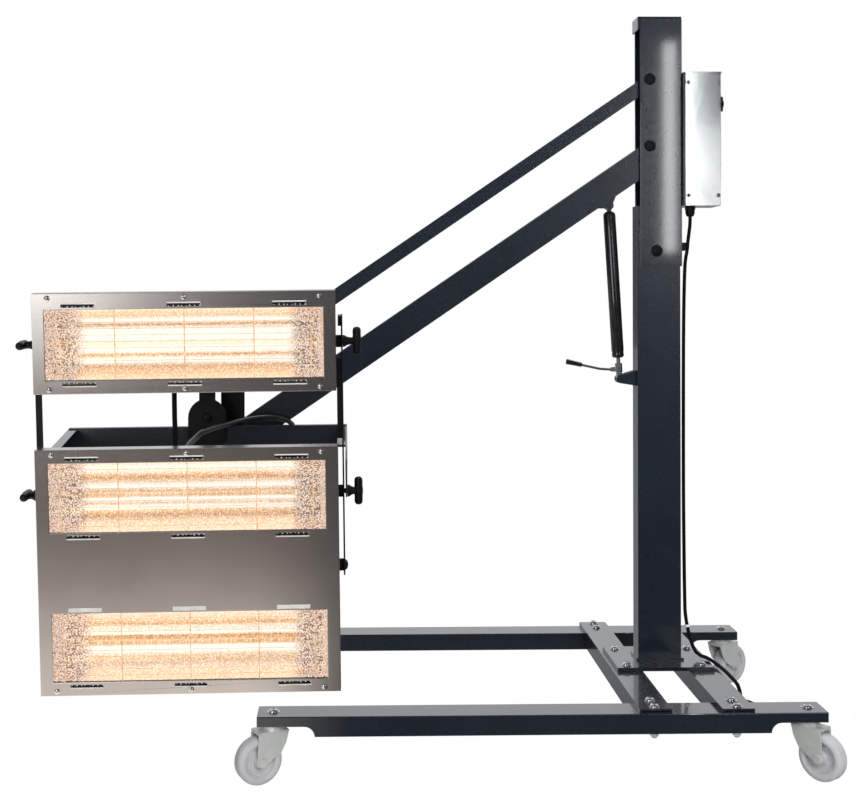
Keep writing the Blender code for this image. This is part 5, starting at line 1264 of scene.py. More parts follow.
@dataclass
class HeadLeads:
    """Lead from the arm to the head, and the short one between the cassettes."""

    crew: Crew
    radius: float = 0.0055
    spacing: float = 0.008
    exit_x: float = -0.019
    exit_z: float = 0.060
    housing_back: float = 0.025
    rear_gland: float = 0.012
    route: tuple[Triple, ...] = (
        (-1.008, -0.295, 0.652), (-1.008, -0.269, 0.667), (-0.995, -0.235, 0.682),
        (-0.977, -0.209, 0.693), (-0.914, -0.109, 0.703), (-0.851, -0.052, 0.705),
        (-0.812, -0.042, 0.692), (-0.806, -0.042, 0.668), (-0.834, -0.042, 0.654))
    knuckle_end: Triple = (-0.9257, -0.042, 0.652)
    short_radius: float = 0.005
    short_spacing: float = 0.006
    short_x: float = -0.034
    short_y: float = 0.016
    short_bow: float = 0.004
    upper_entry: float = 0.018
    lower_entry: float = 0.020

    def build(self) -> None:
        """Make both leads."""
        self.lay_lead("head_lead_run", Body.KNUCKLE, self.head_lead_points(), self.radius,
                      "grey_heat_sheath", "head_lead")
        self.lay_lead("upper_lead_run", Body.HEAD, self.upper_lead_points(), self.short_radius,
                      "cable_sheath", "upper_lead")

    def head_lead_points(self) -> list[Vector]:
        """Route of the lead from the arm to the head.

        Returns:
            Points from the lower housing's back, over the yoke, to the knuckle's gland.
        """
        head = head_matrix()
        straight = 2 * self.radius
        exit_y = self.housing_back + self.rear_gland + GAP
        first = head @ Vector((self.exit_x, exit_y, self.exit_z))
        second = head @ Vector((self.exit_x, exit_y + straight, self.exit_z))
        last = Vector(self.knuckle_end) + MAST
        middle = [Vector(point) + MAST for point in self.route]
        return smooth_route([first, second, *middle, last + Vector((straight, 0, 0)), last],
                            self.spacing)

    def upper_lead_points(self) -> list[Vector]:
        """Route of the lead between the cassettes.

        Returns:
            Points from the upper housing down into the lower one.
        """
        head = head_matrix()
        top = UPPER_CASSETTE.bottom + self.upper_entry - GAP
        bottom = LOWER_CASSETTE.top - self.lower_entry + GAP
        straight = 2 * self.short_radius
        x, y = self.short_x, self.short_y
        route = ((x, y, top), (x, y, top - straight),
                 (x, y - self.short_bow, (top + bottom) / 2), (x, y, bottom + straight),
                 (x, y, bottom))
        return smooth_route([head @ Vector(point) for point in route], self.short_spacing)

    def lay_lead(self, name: str, body: Body, points: Sequence[Vector], radius: float,
                 finish: str, node: str) -> None:
        """Make one lead.

        Args:
            name: the piece's name.
            body: the body that it rides on.
            points: places along its middle.
            radius: its radius.
            finish: its finish.
            node: the CAD node that it stands for.
        """
        lead = tube(name, points, radius)
        self.crew.place(lead, body.value, [finish], [node])


@dataclass
class LampUnit:
    """Reflector trough, infrared tube and wire grille behind one window."""

    crew: Crew
    number: int
    body: str
    z: float
    finish: str
    wire: float = 0.001
    wire_share: float = 0.5
    post: float = 0.0013
    post_share: float = 0.8
    wire_sides: int = 8
    rows: int = 10
    post_places: tuple[float, ...] = (0.04, 0.25, 0.5, 0.75, 0.955)
    overlap: float = 0.0035
    side: float = 0.008
    depth: float = 0.048
    curve_steps: int = 12
    end_gap: float = 0.002
    end_share: float = 0.998
    end_lean: float = 0.012
    back_half: float = 0.022
    reflector_sheet: float = 0.001
    lit_depth_share: float = 0.3
    tip_gap: float = 0.0005
    tube_radius: float = 0.0055
    tube_end: Outline = ((0.0015, 0), (0.0044, 0.004), (0.0055, 0.010))
    tube_inset: float = 0.018
    filament_half: float = 0.195
    filament_share: float = 0.62
    filament_edge: float = 0.001
    cap_radius: float = 0.009
    cap_length: float = 0.030
    cap_half: float = 0.006
    cap_edge: float = 0.0012
    pinch_reach: tuple[float, float] = (0.022, 0.002)
    pinch_half: tuple[float, float] = (0.0008, 0.0045)
    pinch_edge: float = 0.0004
    collar: tuple[float, float] = (0.012, 0.018)
    collar_share: float = 0.98
    collar_edge: float = 0.001

    def fronts(self) -> tuple[float, float, float]:
        """How deep the parts lie behind the panel.

        Returns:
            Depths of the grille's rows, of its posts and of the reflector's mouth.
        """
        row = PANEL_FRONT + PANEL_SHEET + GAP + self.wire
        post = row + self.wire + self.post * 0.5
        return row, post, post + self.post + GAP

    def build(self) -> None:
        """Make the three pieces."""
        self.build_grille()
        self.build_reflector()
        self.build_lamp()

    def build_grille(self) -> None:
        """Round wires in rows behind the window, and the posts that they are welded to."""
        row_y, post_y, _ = self.fronts()
        half = WINDOW_WIDTH / 2
        lip = WINDOW_HEIGHT / 2 + self.overlap
        shape = Shape()
        for i in range(self.rows):
            z = self.z - WINDOW_HEIGHT / 2 + WINDOW_HEIGHT * (i + 1) / (self.rows + 1)
            shape.bar((-half - self.side, row_y, z), (half + self.side, row_y, z),
                      self.wire * self.wire_share, steps=self.wire_sides)
        for share in self.post_places:
            x = WINDOW_WIDTH * share - half
            shape.bar((x, post_y, self.z - lip), (x, post_y, self.z + lip),
                      self.post * self.post_share, steps=self.wire_sides, index=1)
        piece = shape.object("grille_wires_%d" % self.number, head_matrix())
        # The wires and posts glow with painted lamplight.
        self.crew.place(piece, self.body, ["grille_wire", "grille_post"],
                        ["grille_%d" % self.number])

    def trough_profile(self) -> list[tuple[float, float]]:
        """Section of the trough, whose halves are quadratic curves.

        Returns:
            Depth and height of each bend, from its upper lip to its lower one.
        """
        _, _, front = self.fronts()
        back = front + self.depth
        mouth = WINDOW_HEIGHT / 2 - self.reflector_sheet
        upper = [(front, mouth)]
        for i in range(1, self.curve_steps + 1):
            t = i / self.curve_steps
            near, bend, far = (1 - t) ** 2, 2 * t * (1 - t), t * t
            upper.append((near * front + bend * back + far * back,
                          near * mouth + bend * mouth + far * self.back_half))
        return upper + [(y, -height) for y, height in reversed(upper)]

    def build_reflector(self) -> None:
        """Hammered trough between two end plates."""
        profile = self.trough_profile()
        span = WINDOW_WIDTH / 2 + self.end_gap
        shape = Shape()
        self.add_trough(shape.bm, profile, span)
        self.add_end_plate(shape.bm, profile, -span, index=1)
        self.add_end_plate(shape.bm, profile, span, index=2)
        self.mark_outside(shape.bm, profile[0][0])
        piece = shape.object("reflector_trough_%d" % self.number, head_matrix())
        # Trough and end plates glow with painted lamplight; their outer faces stay plain.
        self.crew.place(piece, self.body,
                        [self.finish, "warm_painted_lamplight_end_plate", "pale_painted_lamplight_end_plate", "plain_gold"],
                        ["reflector_%d" % self.number])

    def add_trough(self, bm: bmesh.types.BMesh, profile: Sequence[tuple[float, float]],
                   span: float) -> None:
        """Bent sheet, with a UV map from end to end and from lip to lip.

        Args:
            bm: the empty mesh.
            profile: depth and height of its bends.
            span: half its length.
        """
        layer = bm.loops.layers.uv.new("UVMap")
        corners = [bm.verts.new((-span, y, self.z + height)) for y, height in profile]
        lines = [bm.edges.new(pair) for pair in zip(corners, corners[1:])]
        made = bmesh.ops.extrude_edge_only(bm, edges=lines)["geom"]
        moved = [part for part in made if isinstance(part, bmesh.types.BMVert)]
        bmesh.ops.translate(bm, vec=(2 * span, 0, 0), verts=moved)
        mouth = profile[0][1]
        for face in bm.faces:
            for loop in face.loops:
                spot = loop.vert.co
                loop[layer].uv = ((spot.x + span) / (2 * span),
                                  (spot.z - self.z + mouth) / (2 * mouth))
        bmesh.ops.recalc_face_normals(bm, faces=bm.faces)
        if sum(face.normal.y for face in bm.faces) > 0:
            bmesh.ops.reverse_faces(bm, faces=bm.faces)
        bmesh.ops.solidify(bm, geom=list(bm.faces), thickness=self.reflector_sheet)

    def add_end_plate(self, bm: bmesh.types.BMesh, profile: Sequence[tuple[float, float]],
                      x: float, index: int) -> None:
        """Plate that closes one end and leans inwards towards its back.

        Args:
            bm: the trough's mesh.
            profile: depth and height of the trough's bends.
            x: place of that end.
            index: the plate's material index.
        """
        others = set(bm.faces)
        front = profile[0][0]
        corners = [bm.verts.new((x * self.end_share - math.copysign(
            self.end_lean * (y - front) / self.depth, x), y, self.z + height))
            for y, height in profile]
        bmesh.ops.contextual_create(bm, geom=corners)
        plate = corners[0].link_faces[0]
        plate.normal_update()
        if plate.normal.x * x < 0:
            bmesh.ops.reverse_faces(bm, faces=[plate])
        bmesh.ops.solidify(bm, geom=[plate], thickness=self.reflector_sheet)
        for face in set(bm.faces) - others:
            face.material_index = index

    def mark_outside(self, bm: bmesh.types.BMesh, front: float) -> None:
        """Give the plain finish, without the painted lamplight, to the faces that look away from
        the lamp.

        Args:
            bm: the finished mesh.
            front: depth of the trough's mouth.
        """
        bm.normal_update()
        middle = Vector((0, front + self.depth * self.lit_depth_share, self.z))
        for face in bm.faces:
            centre = face.calc_center_median()
            inward = middle - centre
            inward.x = 0
            if face.material_index == 0:
                outside = face.normal.dot(inward) < 0
            else:
                outside = face.normal.x * centre.x > 0
            if outside:
                face.material_index = 3

    def build_lamp(self) -> None:
        """Quartz tube with its filament, pinched ends, ceramic caps and brass collars."""
        _, _, front = self.fronts()
        y = front + self.depth / 2
        tip = WINDOW_WIDTH / 2 - self.tip_gap
        inner = tip - self.cap_length
        shape = Shape()
        for side in (-1, 1):
            low, high = sorted((side * tip, side * inner))
            shape.block((low, y - self.cap_radius, self.z - self.cap_half),
                        (high, y + self.cap_radius, self.z + self.cap_half), self.cap_edge,
                        index=1)
            inward, outward = self.pinch_reach
            thin, tall = self.pinch_half
            low, high = sorted((side * (inner - inward), side * (inner + outward)))
            shape.block((low, y - thin, self.z - tall), (high, y + thin, self.z + tall),
                        self.pinch_edge)
            outer, innermost = (side * (tip - inset) for inset in self.collar)
            shape.bar((outer, y, self.z), (innermost, y, self.z),
                      self.cap_radius * self.collar_share, self.collar_edge, steps=20,
                      index=3)
        reach = inner - self.tube_inset
        far_end = [(radius, 2 * reach - inset) for radius, inset in reversed(self.tube_end)]
        shape.turned([*self.tube_end, *far_end], (-reach, y, self.z), Axis.X.value, steps=20)
        shape.bar((-self.filament_half, y, self.z), (self.filament_half, y, self.z),
                  self.tube_radius * self.filament_share, self.filament_edge, steps=12,
                  index=2)
        piece = shape.object("infrared_tube_%d" % self.number, head_matrix())
        self.crew.place(piece, self.body,
                        ["quartz_glass", "lamp_ceramic", "hot_filament", "brass_terminal"],
                        ["lamp_%d" % self.number])


@dataclass
class CassetteTrim:
    """Louvre lips, black strips of painted shade behind their slots, and screws on the two
    stainless front panels.
    """

    crew: Crew
    slot_length: float = 0.061
    slot_pitch: float = 0.1965
    slot_offset: float = 0.0075
    lip_side: float = 0.001
    lip_angle: float = math.radians(-14)
    lip_root: float = 0.0028
    lip_height: float = 0.0024
    lip_depths: tuple[float, float] = (-0.0012, -0.0002)
    lip_edge: float = 0.0003
    shut_depths: tuple[float, float] = (-0.0007, -0.0001)
    shut_heights: tuple[float, float] = (-0.0045, 0.0035)
    teeth: int = 8
    tooth_root: float = 0.0026
    tooth_width: float = 0.0022
    tooth_reach: float = 0.0008
    tooth_step: float = 0.0005
    tooth_depths: tuple[float, float] = (-0.0002, 0.0008)
    tooth_edge: float = 0.0002
    shade_side: float = 0.003
    shade_half: float = 0.0033
    shade_sheet: float = 0.0007
    shade_edge: float = 0.0002
    screw_x: float = 0.253
    screw_inset: float = 0.009
    screw_outline: Outline = (
        (0, 0), (0.0052, 0), (0.0051, 0.0012), (0.0040, 0.0022), (0.0020, 0.0026),
        (0.0016, 0.0014), (0, 0.0014))

    def build(self) -> None:
        """Make the trim of both cassettes."""
        for cassette in (LOWER_CASSETTE, UPPER_CASSETTE):
            lips, slot_shades, screws = Shape(), Shape(), Shape()
            for z in cassette.windows:
                for row in (-1, 1):
                    middle = z + row * (WINDOW_HEIGHT / 2 + self.slot_offset)
                    for column in (-1, 0, 1):
                        x = column * self.slot_pitch
                        if z < 0 < row:
                            self.shut_louvre(lips, x, middle)
                        else:
                            self.louvre(lips, x, middle, row)
                        # A black strip of painted shade behind each slot.
                        self.slot_shade(slot_shades, x, middle)
            for x in (-self.screw_x, 0, self.screw_x):
                for z in (cassette.bottom + self.screw_inset, cassette.top - self.screw_inset):
                    screws.turned(self.screw_outline, (x, PANEL_FRONT, z),
                                  Axis.FRONT.value, steps=20)
            for shape, name, finish in ((lips, "_louvre_lips", "lit_lip"),
                                        (slot_shades, "_slot_painted_shade", "satin_black_paint"),
                                        (screws, "_panel_screws", "zinc_plate")):
                piece = shape.object(cassette.name + name, head_matrix())
                self.crew.place(piece, cassette.body.value, [finish])

    def slot_shade(self, shape: Shape, x: float, z: float) -> None:
        """Black strip of painted shade behind one slot, which hides the housing's inside.

        Args:
            shape: the shape that it is added to.
            x: the slot's middle.
            z: the slot's height.
        """
        half = self.slot_length / 2 + self.shade_side
        back = PANEL_FRONT + PANEL_SHEET + GAP
        shape.block((x - half, back, z - self.shade_half),
                    (x + half, back + self.shade_sheet, z + self.shade_half),
                    self.shade_edge)

    def shut_louvre(self, shape: Shape, x: float, z: float) -> None:
        """Lip that is folded down over its slot, above the lowest window.

        Args:
            shape: the shape that it is added to.
            x: the slot's middle.
            z: the slot's height.
        """
        half = self.slot_length / 2 + self.lip_side
        front, back = self.shut_depths
        low, high = self.shut_heights
        shape.block((x - half, PANEL_FRONT + front, z + low),
                    (x + half, PANEL_FRONT + back, z + high), self.lip_edge)

    def louvre(self, shape: Shape, x: float, z: float, row: int) -> None:
        """One bent lip at the outer edge of a cooling slot, and its torn inner edge.

        Args:
            shape: the shape that it is added to.
            x: the slot's middle.
            z: the slot's height.
            row: 1 above a window, -1 below it.
        """
        half = self.slot_length / 2 + self.lip_side
        lean = (Matrix.Translation((x, PANEL_FRONT, z + row * self.lip_root))
                @ Matrix.Rotation(row * self.lip_angle, 4, "X"))
        front, back = self.lip_depths
        low, high = sorted((0, row * self.lip_height))
        shape.block((-half, front, low), (half, back, high), self.lip_edge, lean)
        front, back = self.tooth_depths
        for i in range(self.teeth):
            uneven = 0.3 + 0.4 * (i * 7 % 5) / 5
            start = x - half + 2 * half * (i + uneven) / self.teeth
            reach = self.tooth_reach + self.tooth_step * (i * 3 % 4)
            low, high = sorted((z - row * self.tooth_root, z - row * (self.tooth_root - reach)))
            shape.block((start, PANEL_FRONT + front, low),
                        (start + self.tooth_width, PANEL_FRONT + back, high), self.tooth_edge)


@dataclass
class ClampKnob:
    """T-shaped moulded knob that clamps the head or the upper cassette."""

    crew: Crew
    name: str
    side: int
    z: float
    seat: float
    upright: bool
    tip: float = 0.331
    collar_outline: Outline = ((0, 0), (0.0115, 0), (0.0118, 0.0015), (0.0110, 0.0045))
    stem_radius: float = 0.0085
    stem_foot: float = 0.008
    stem_outline: Outline = ((0.82, 0.55), (0.92, 0.9), (0.95, 1.0), (0, 1.0))
    bar_length: float = 0.055
    bar_radius: float = 0.009
    bar_end: Outline = ((0, 0), (0.45, 0.0006), (0.78, 0.003), (0.9, 0.008))
    bar_waist: tuple[float, float] = (0.88, 0.4)
    shank_inner: float = 0.288
    shank_overlap: float = 0.001
    shank_radius: float = 0.0049
    shank_edge: float = 0.0004

    def bar_profile(self) -> list[tuple[float, float]]:
        """Outline of the crossbar, with rounded ends and a slight waist on each side.

        Returns:
            Radius of each point and its height from the bar's middle.
        """
        half = self.bar_length / 2
        narrow, share = self.bar_waist
        lower = [(self.bar_radius * across, -half + inset) for across, inset in self.bar_end]
        lower.append((self.bar_radius * narrow, -half * share))
        upper = [(radius, -height) for radius, height in reversed(lower)]
        return [*lower, (self.bar_radius, 0), *upper]

    def build(self) -> None:
        """Make the knob with its collar and shank."""
        shape = Shape()
        side = self.side
        bar_x = self.tip - self.bar_radius
        reach = bar_x - self.seat
        stem = scaled(self.stem_outline, self.stem_radius, reach)
        shape.turned([*self.collar_outline, (self.stem_radius, self.stem_foot), *stem],
                     (side * self.seat, 0, self.z), (side, 0, 0), steps=28)
        line = Axis.Z.value if self.upright else Axis.Y.value
        shape.turned(self.bar_profile(), (side * bar_x, 0, self.z), line, steps=24)
        shape.bar((side * self.shank_inner, 0, self.z),
                  (side * (self.seat + self.shank_overlap), 0, self.z), self.shank_radius,
                  self.shank_edge, steps=20, index=1)
        piece = shape.object(self.name + "_grip", head_matrix())
        self.crew.place(piece, self.name, ["moulded_black_plastic", "zinc_plate"], [self.name])


@dataclass
class CasterWheel:
    """Grey tyre on a nylon hub with its bearing caps."""

    crew: Crew
    spot: str
    radius: float = 0.0467
    half: float = 0.016
    tread_edge: float = 0.009
    tread_steps: int = 8
    tyre_side: Outline = ((0.0315, 0.01376), (0.0345, 0.016))
    hub_outline: Outline = (
        (0.0066, 0.0155), (0.012, 0.0155), (0.0130, 0.0140), (0.0135, 0.0105),
        (0.0160, 0.0085), (0.0265, 0.0085), (0.0288, 0.0105), (0.0296, 0.0135),
        (0.0313, 0.0138))
    cap_place: float = 0.0158
    cap_outline: Outline = (
        (0.0066, -0.003), (0.0105, -0.003), (0.0105, 0.0004), (0.0085, 0.0011),
        (0.0066, 0.0011))

    def tread(self) -> list[tuple[float, float]]:
        """Rounded tread, from one side of the tyre to the other.

        Returns:
            Radius of each point and its height from the wheel's middle plane.
        """
        points = []
        for i in range(self.tread_steps + 1):
            angle = math.pi / 2 - math.pi * i / self.tread_steps
            centre = self.half - self.tread_edge
            if i > self.tread_steps / 2:
                centre = -centre
            points.append((self.radius - self.tread_edge + self.tread_edge * math.cos(angle),
                           centre + self.tread_edge * math.sin(angle)))
        return points

    def build(self) -> None:
        """Make the wheel's tyre, hub and caps."""
        joint = self.crew.joints["caster_%s_roll" % self.spot]
        axle, direction = Vector(joint["pos_m"]), Vector(joint["axis"])
        shape = Shape()
        far_side = [(radius, -height) for radius, height in reversed(self.tyre_side)]
        shape.turned([*self.tyre_side, *self.tread(), *far_side], axle, direction,
                     steps=64, closed=True)
        far_side = [(radius, -height) for radius, height in reversed(self.hub_outline)]
        shape.turned([*self.hub_outline, *far_side], axle, direction, steps=48, closed=True,
                     index=1)
        for side in (-1, 1):
            outward = direction.normalized() * side
            shape.turned(self.cap_outline, axle + outward * self.cap_place, outward,
                         steps=32, closed=True, index=2)
        self.crew.place(shape.object("wheel_tyre_" + self.spot), "caster_wheel_" + self.spot,
                        ["grey_tyre", "grey_hub_nylon", "zinc_plate"],
                        ["caster_wheel_" + self.spot])


@dataclass
class BaseFasteners:
    """Screws and domed nuts of the base, the mast's foot and the casters."""

    crew: Crew
    rail_spread: float = 0.305
    rail_half: float = 0.035
    beam_offset: float = 0.082
    beam_top: float = 0.1563
    rail_top: float = 0.147
    rail_bottom: float = 0.107
    plate_top: float = 0.1646
    plate_bolt_y: float = 0.065
    inset: float = 0.015
    rail_ends: tuple[float, float] = (-0.8345, 0.2295)
    bolt_head: tuple[float, float] = (0.0092, 0.0068)
    caster_bolt_head: tuple[float, float] = (0.0100, 0.0060)
    nut: tuple[float, float] = (0.0085, 0.0125)

    def build(self) -> None:
        """Make the visible heads and nuts."""
        screws, nuts = Shape(), Shape()
        up, down = Axis.Z.value, Axis.DOWN.value
        outer = self.rail_spread + self.rail_half - self.inset
        inner = self.rail_spread - self.rail_half + self.inset
        for x in (-self.beam_offset, self.beam_offset):
            for side in (-1, 1):
                for y in (outer, inner):
                    screws.button_screw(Vector((x, side * y, self.beam_top)) + MAST, up,
                                        *self.bolt_head)
                nuts.dome_nut(Vector((x, side * outer, self.rail_bottom)) + MAST, down,
                              *self.nut)
                screws.button_screw(Vector((x, side * self.plate_bolt_y, self.plate_top)) + MAST,
                                    up, *self.bolt_head)
        for x in self.rail_ends:
            for side in (-1, 1):
                screws.button_screw(Vector((x, side * self.rail_spread, self.rail_top)) + MAST,
                                    up, *self.caster_bolt_head)
        self.crew.place(screws.object("base_screws"), Body.BASE.value, ["zinc_plate"])
        self.crew.place(nuts.object("base_nuts"), Body.BASE.value, ["zinc_pressing"])


@dataclass
class ControlBox:
    """Timer, switches, screws and gland of the control box."""

    crew: Crew
    right: float = 0.134
    timer_z: float = 1.395
    timer_outline: Outline = (
        (0, 0), (0.0188, 0), (0.0190, 0.0022), (0.0180, 0.0042), (0.0112, 0.0058),
        (0.0100, 0.0078), (0.0096, 0.0145), (0.0084, 0.0158), (0, 0.0160))
    timer_fin: tuple[Triple, Triple] = ((0.0050, -0.0021, -0.0165), (0.0159, 0.0021, 0.0165))
    fin_edge: float = 0.0012
    timer_pointer: tuple[Triple, Triple] = (
        (0.0040, -0.0006, 0.0110), (0.0160, 0.0006, 0.0166))
    pointer_edge: float = 0.0002
    marks: int = 31
    first_mark: float = -150
    mark_step: float = 10
    mark_low: Triple = (-0.0004, -0.0003, 0.0206)
    mark_high: tuple[float, float] = (0.0002, 0.0003)
    long_mark: float = 0.004
    short_mark: float = 0.0022
    switch_z: tuple[float, ...] = (1.330, 1.288, 1.246)
    bezel: tuple[tuple[Triple, Triple], ...] = (
        ((0, -0.0135, -0.0178), (0.0020, 0.0135, -0.0153)),
        ((0, -0.0135, 0.0153), (0.0020, 0.0135, 0.0178)),
        ((0, -0.0135, -0.0155), (0.0020, -0.0113, 0.0155)),
        ((0, 0.0113, -0.0155), (0.0020, 0.0135, 0.0155)))
    bezel_edge: float = 0.0004
    rocker_pivot: float = 0.0035
    rocker_angle: float = math.radians(9)
    rocker_half: float = 0.0108
    rocker_reach: float = 0.0146
    rocker_depths: tuple[float, float] = (-0.0030, 0.0036)
    rocker_edge: float = 0.0006
    rocker_mark: tuple[Triple, Triple] = ((0.0068, -0.0005, 0.0060), (0.0082, 0.0005, 0.0105))
    mark_edge: float = 0.0001
    front: float = -0.040
    screw_x: tuple[float, float] = (0.062, 0.128)
    screw_z: tuple[float, float] = (1.189, 1.437)
    screw_outline: Outline = (
        (0, 0), (0.0046, 0), (0.0045, 0.0011), (0.0034, 0.0021), (0.0016, 0.0024),
        (0.0013, 0.0014), (0, 0.0014))
    gland: Triple = (0.076, 0.0, 1.166)
    gland_nut: Outline = (
        (0.0044, 0), (0.0118, 0), (0.0120, 0.0008), (0.0120, 0.0062), (0.0116, 0.0070),
        (0.0044, 0.0070))
    gland_neck: Outline = (
        (0.0044, 0.0068), (0.0104, 0.0068), (0.0106, 0.0080), (0.0106, 0.0135),
        (0.0088, 0.0190), (0.0070, 0.0213), (0.0044, 0.0215))

    def build(self) -> None:
        """Make the pieces on the box."""
        self.build_timer()
        for number, z in enumerate(self.switch_z, start=1):
            self.build_switch(number, Vector((self.right + GAP, 0, z)) + MAST)
        self.build_screws()
        self.build_gland()

    def build_timer(self) -> None:
        """Skirted knob with a pointer, over a ring of minute marks."""
        place = Vector((self.right + GAP, 0, self.timer_z)) + MAST
        shape = Shape()
        shape.turned(self.timer_outline, place, Axis.X.value, steps=48)
        for (low, high), edge, index in ((self.timer_fin, self.fin_edge, 0),
                                         (self.timer_pointer, self.pointer_edge, 1)):
            shape.block(place + Vector(low), place + Vector(high), edge, index=index)
        self.crew.place(shape.object("timer_knob_skirted"), Body.TIMER_KNOB.value,
                        ["moulded_black_plastic", "pale_nylon"], ["timer_knob"])
        shape = Shape()
        for i in range(self.marks):
            angle = math.radians(self.first_mark + self.mark_step * i)
            length = self.short_mark if i % 5 else self.long_mark
            turn = Matrix.Translation(place) @ Matrix.Rotation(angle, 4, "X")
            shape.block(self.mark_low, (*self.mark_high, self.mark_low[2] + length),
                        matrix=turn)
        self.crew.place(shape.object("timer_minute_marks"), Body.BASE.value,
                        ["moulded_black_plastic"])

    def build_switch(self, number: int, place: Vector) -> None:
        """One rocker in its bezel.

        Args:
            number: the lamp that it switches.
            place: its middle on the box's side.
        """
        shape = Shape()
        for low, high in self.bezel:
            shape.block(place + Vector(low), place + Vector(high), self.bezel_edge)
        self.crew.place(shape.object("switch_bezel_%d" % number), Body.BASE.value,
                        ["moulded_black_plastic"])
        shape = Shape()
        back, front = self.rocker_depths
        for side in (-1, 1):
            lean = (Matrix.Translation(place + Vector((self.rocker_pivot, 0, 0)))
                    @ Matrix.Rotation(side * self.rocker_angle, 4, "Y"))
            low, high = sorted((0, side * self.rocker_reach))
            shape.block((back, -self.rocker_half, low), (front, self.rocker_half, high),
                        self.rocker_edge, lean)
        low, high = self.rocker_mark
        shape.block(place + Vector(low), place + Vector(high), self.mark_edge, index=1)
        name = "lamp_switch_%d" % number
        self.crew.place(shape.object("switch_rocker_%d" % number), name,
                        ["gloss_black_paint", "pale_nylon"], [name])

    def build_screws(self) -> None:
        """Small pan heads on the cover."""
        shape = Shape()
        for x in self.screw_x:
            for z in self.screw_z:
                shape.turned(self.screw_outline, Vector((x, self.front, z)) + MAST,
                             Axis.FRONT.value, steps=20)
        self.crew.place(shape.object("cover_screws"), Body.BASE.value, ["zinc_plate"])

    def build_gland(self) -> None:
        """Six-sided gland nut with its neck."""
        place = Vector(self.gland) + MAST - Vector((0, 0, GAP))
        shape = Shape()
        shape.turned(self.gland_nut, place, Axis.DOWN.value, steps=6, closed=True)
        shape.turned(self.gland_neck, place, Axis.DOWN.value, steps=12, closed=True)
        self.crew.place(shape.object("cable_gland_nut"), Body.BASE.value,
                        ["moulded_black_plastic"], ["cable_gland"])


@dataclass
class GasStrut:
    """Rolled cylinder of the gas strut, with its upper eye."""

    crew: Crew
    eye_gap: float = 0.0125
    length: float = 0.326
    upper_end: Outline = (
        (0, 0), (0.0060, 0), (0.0095, 0.0012), (0.0125, 0.0042), (0.0135, 0.0085))
    lower_end: Outline = (
        (0.0135, 0.016), (0.0126, 0.0125), (0.0126, 0.0105), (0.0134, 0.0075),
        (0.0128, 0.0035), (0.0105, 0.0008), (0.0052, 0), (0.0050, 0.004), (0.0050, 0.30),
        (0, 0.30))
    eye_outline: Outline = (
        (0.0043, -0.0075), (0.0074, -0.0075), (0.0080, -0.0068), (0.0080, 0.0068),
        (0.0074, 0.0075), (0.0043, 0.0075))
    neck: tuple[Triple, Triple] = ((-0.0042, -0.0068, 0.0068), (0.0042, 0.0068, 0.0150))
    neck_edge: float = 0.0008

    def build(self) -> None:
        """Make the cylinder with its rolled ends, and the eye with its neck."""
        eye = Vector(self.crew.joints["strut_swing"]["pos_m"])
        along = Vector(self.crew.joints["strut_stroke"]["axis"])
        shape = Shape()
        lower = [(radius, self.length - inset) for radius, inset in self.lower_end]
        shape.turned([*self.upper_end, *lower], eye + along * self.eye_gap, along, steps=40)
        shape.turned(self.eye_outline, eye, Axis.Y.value, steps=28, closed=True, index=1)
        turn = Vector(Axis.Z.value).rotation_difference(along).to_matrix().to_4x4()
        low, high = self.neck
        shape.block(low, high, self.neck_edge, Matrix.Translation(eye) @ turn, index=1)
        self.crew.place(shape.object("strut_cylinder_rolled"), Body.STRUT_CYLINDER.value,
                        ["gloss_black_paint", "zinc_plate"], ["strut_cylinder"])


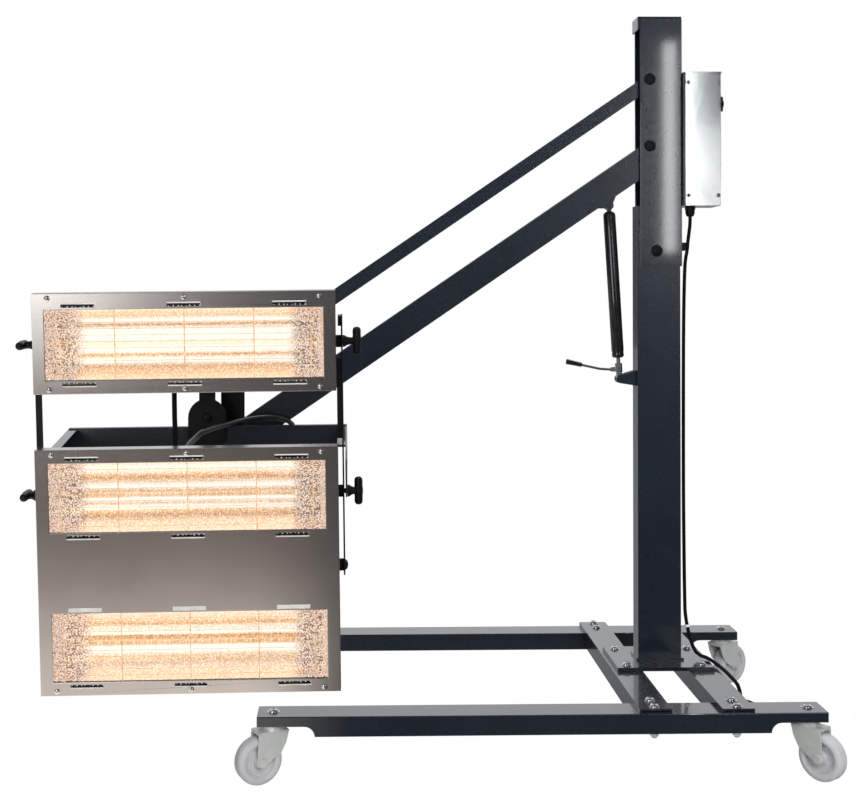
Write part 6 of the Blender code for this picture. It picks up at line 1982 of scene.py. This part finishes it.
@dataclass
class FrameNodes:
    """Finishes and eased edges of the CAD nodes that stay as they are."""

    crew: Crew
    fork_edge: float = 0.0006
    merge_distance: float = 0.00002
    ease_angle: float = math.radians(40)
    ease_segments: int = 2
    eased: ClassVar[dict[str, float]] = {
        "rail_front": 0.0016, "rail_rear": 0.0016, "cross_beam_left": 0.0010,
        "cross_beam_right": 0.0010, "mast": 0.0016, "mast_channel": 0.0014,
        "lower_arm": 0.0016, "upper_arm": 0.0012, "knuckle": 0.0012, "yoke": 0.0006,
        "lower_panel": 0.0010, "upper_panel": 0.0010, "lower_housing": 0.0006,
        "upper_housing": 0.0006, "control_box_cover": 0.0005, "control_box_plate": 0.0006,
        "strap_left": 0.0005, "strap_right": 0.0005, "pivot_plate": 0.0008,
        "mast_cap": 0.0010}
    finishes: ClassVar[dict[str, str]] = {
        "lower_panel": "panel_stainless", "upper_panel": "panel_stainless",
        "lower_housing": "housing_steel", "upper_housing": "housing_steel",
        "control_box_cover": "cover_stainless", "strap_left": "satin_black_paint",
        "strap_right": "satin_black_paint", "pivot_plate": "satin_black_paint",
        "knuckle": "satin_black_paint", "channel_bolt": "moulded_black_plastic",
        "lower_pivot_bolt": "moulded_black_plastic", "upper_pivot_bolt": "moulded_black_plastic",
        "strut_rod": "zinc_plate", "release_lever": "zinc_plate",
        "lever_grip": "gloss_black_paint", "cable_clip": "moulded_black_plastic",
        "cable_tie": "pale_nylon"}

    def build(self) -> None:
        """Dress every node that still shows."""
        for name, node in self.crew.nodes.items():
            is_fork = name.startswith("caster_fork")
            finish = self.finishes.get(name, "blue_grey_gloss_paint")
            if is_fork:
                finish = "zinc_pressing"
            elif "knob" in name or name.startswith("lamp_switch"):
                finish = "moulded_black_plastic"
            self.crew.paints.dress_node(node, finish)
            if is_fork or name in self.eased:
                self.ease(node, self.eased.get(name, self.fork_edge))

    def ease(self, node: bpy.types.Object, width: float) -> None:
        """Round a node's sharp edges a little.

        Args:
            node: the CAD node's object.
            width: width of the rounding.
        """
        weld = node.modifiers.new("weld", "WELD")
        weld.merge_threshold = self.merge_distance
        bevel = node.modifiers.new("eased_edges", "BEVEL")
        bevel.width = width
        bevel.segments = self.ease_segments
        bevel.limit_method = "ANGLE"
        bevel.angle_limit = self.ease_angle


def build_head(crew: Crew) -> None:
    """Build the lamps, the cassettes' trim and the clamp knobs.

    Args:
        crew: the finishes, nodes and joints.
    """
    finishes = iter(("lit_gold_lower", "lit_gold_middle", "lit_gold_upper"))
    number = 0
    for cassette in (LOWER_CASSETTE, UPPER_CASSETTE):
        for z in cassette.windows:
            number += 1
            LampUnit(crew, number, cassette.body.value, z, next(finishes)).build()
    CassetteTrim(crew).build()
    for kind, z, seat in (("tilt_knob", 0.0, 0.300), ("cassette_knob", 0.293, 0.2945)):
        for hand, side in (("left", -1), ("right", 1)):
            ClampKnob(crew, "%s_%s" % (kind, hand), side, z, seat + GAP, side > 0).build()


def main() -> None:
    """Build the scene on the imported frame."""
    logging.basicConfig(level=logging.INFO, format="%(message)s")
    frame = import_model()
    Studio().build()
    crew = Crew(Paintbox(), frame["nodes"],
                {joint["name"]: joint for joint in frame["joints"]})
    MainsCable(crew).build()
    HeadLeads(crew).build()
    FrameNodes(crew).build()
    build_head(crew)
    for spot in ("front_left", "front_right", "rear_left", "rear_right"):
        CasterWheel(crew, spot).build()
    BaseFasteners(crew).build()
    ControlBox(crew).build()
    GasStrut(crew).build()


if __name__ == "__main__":
    main()
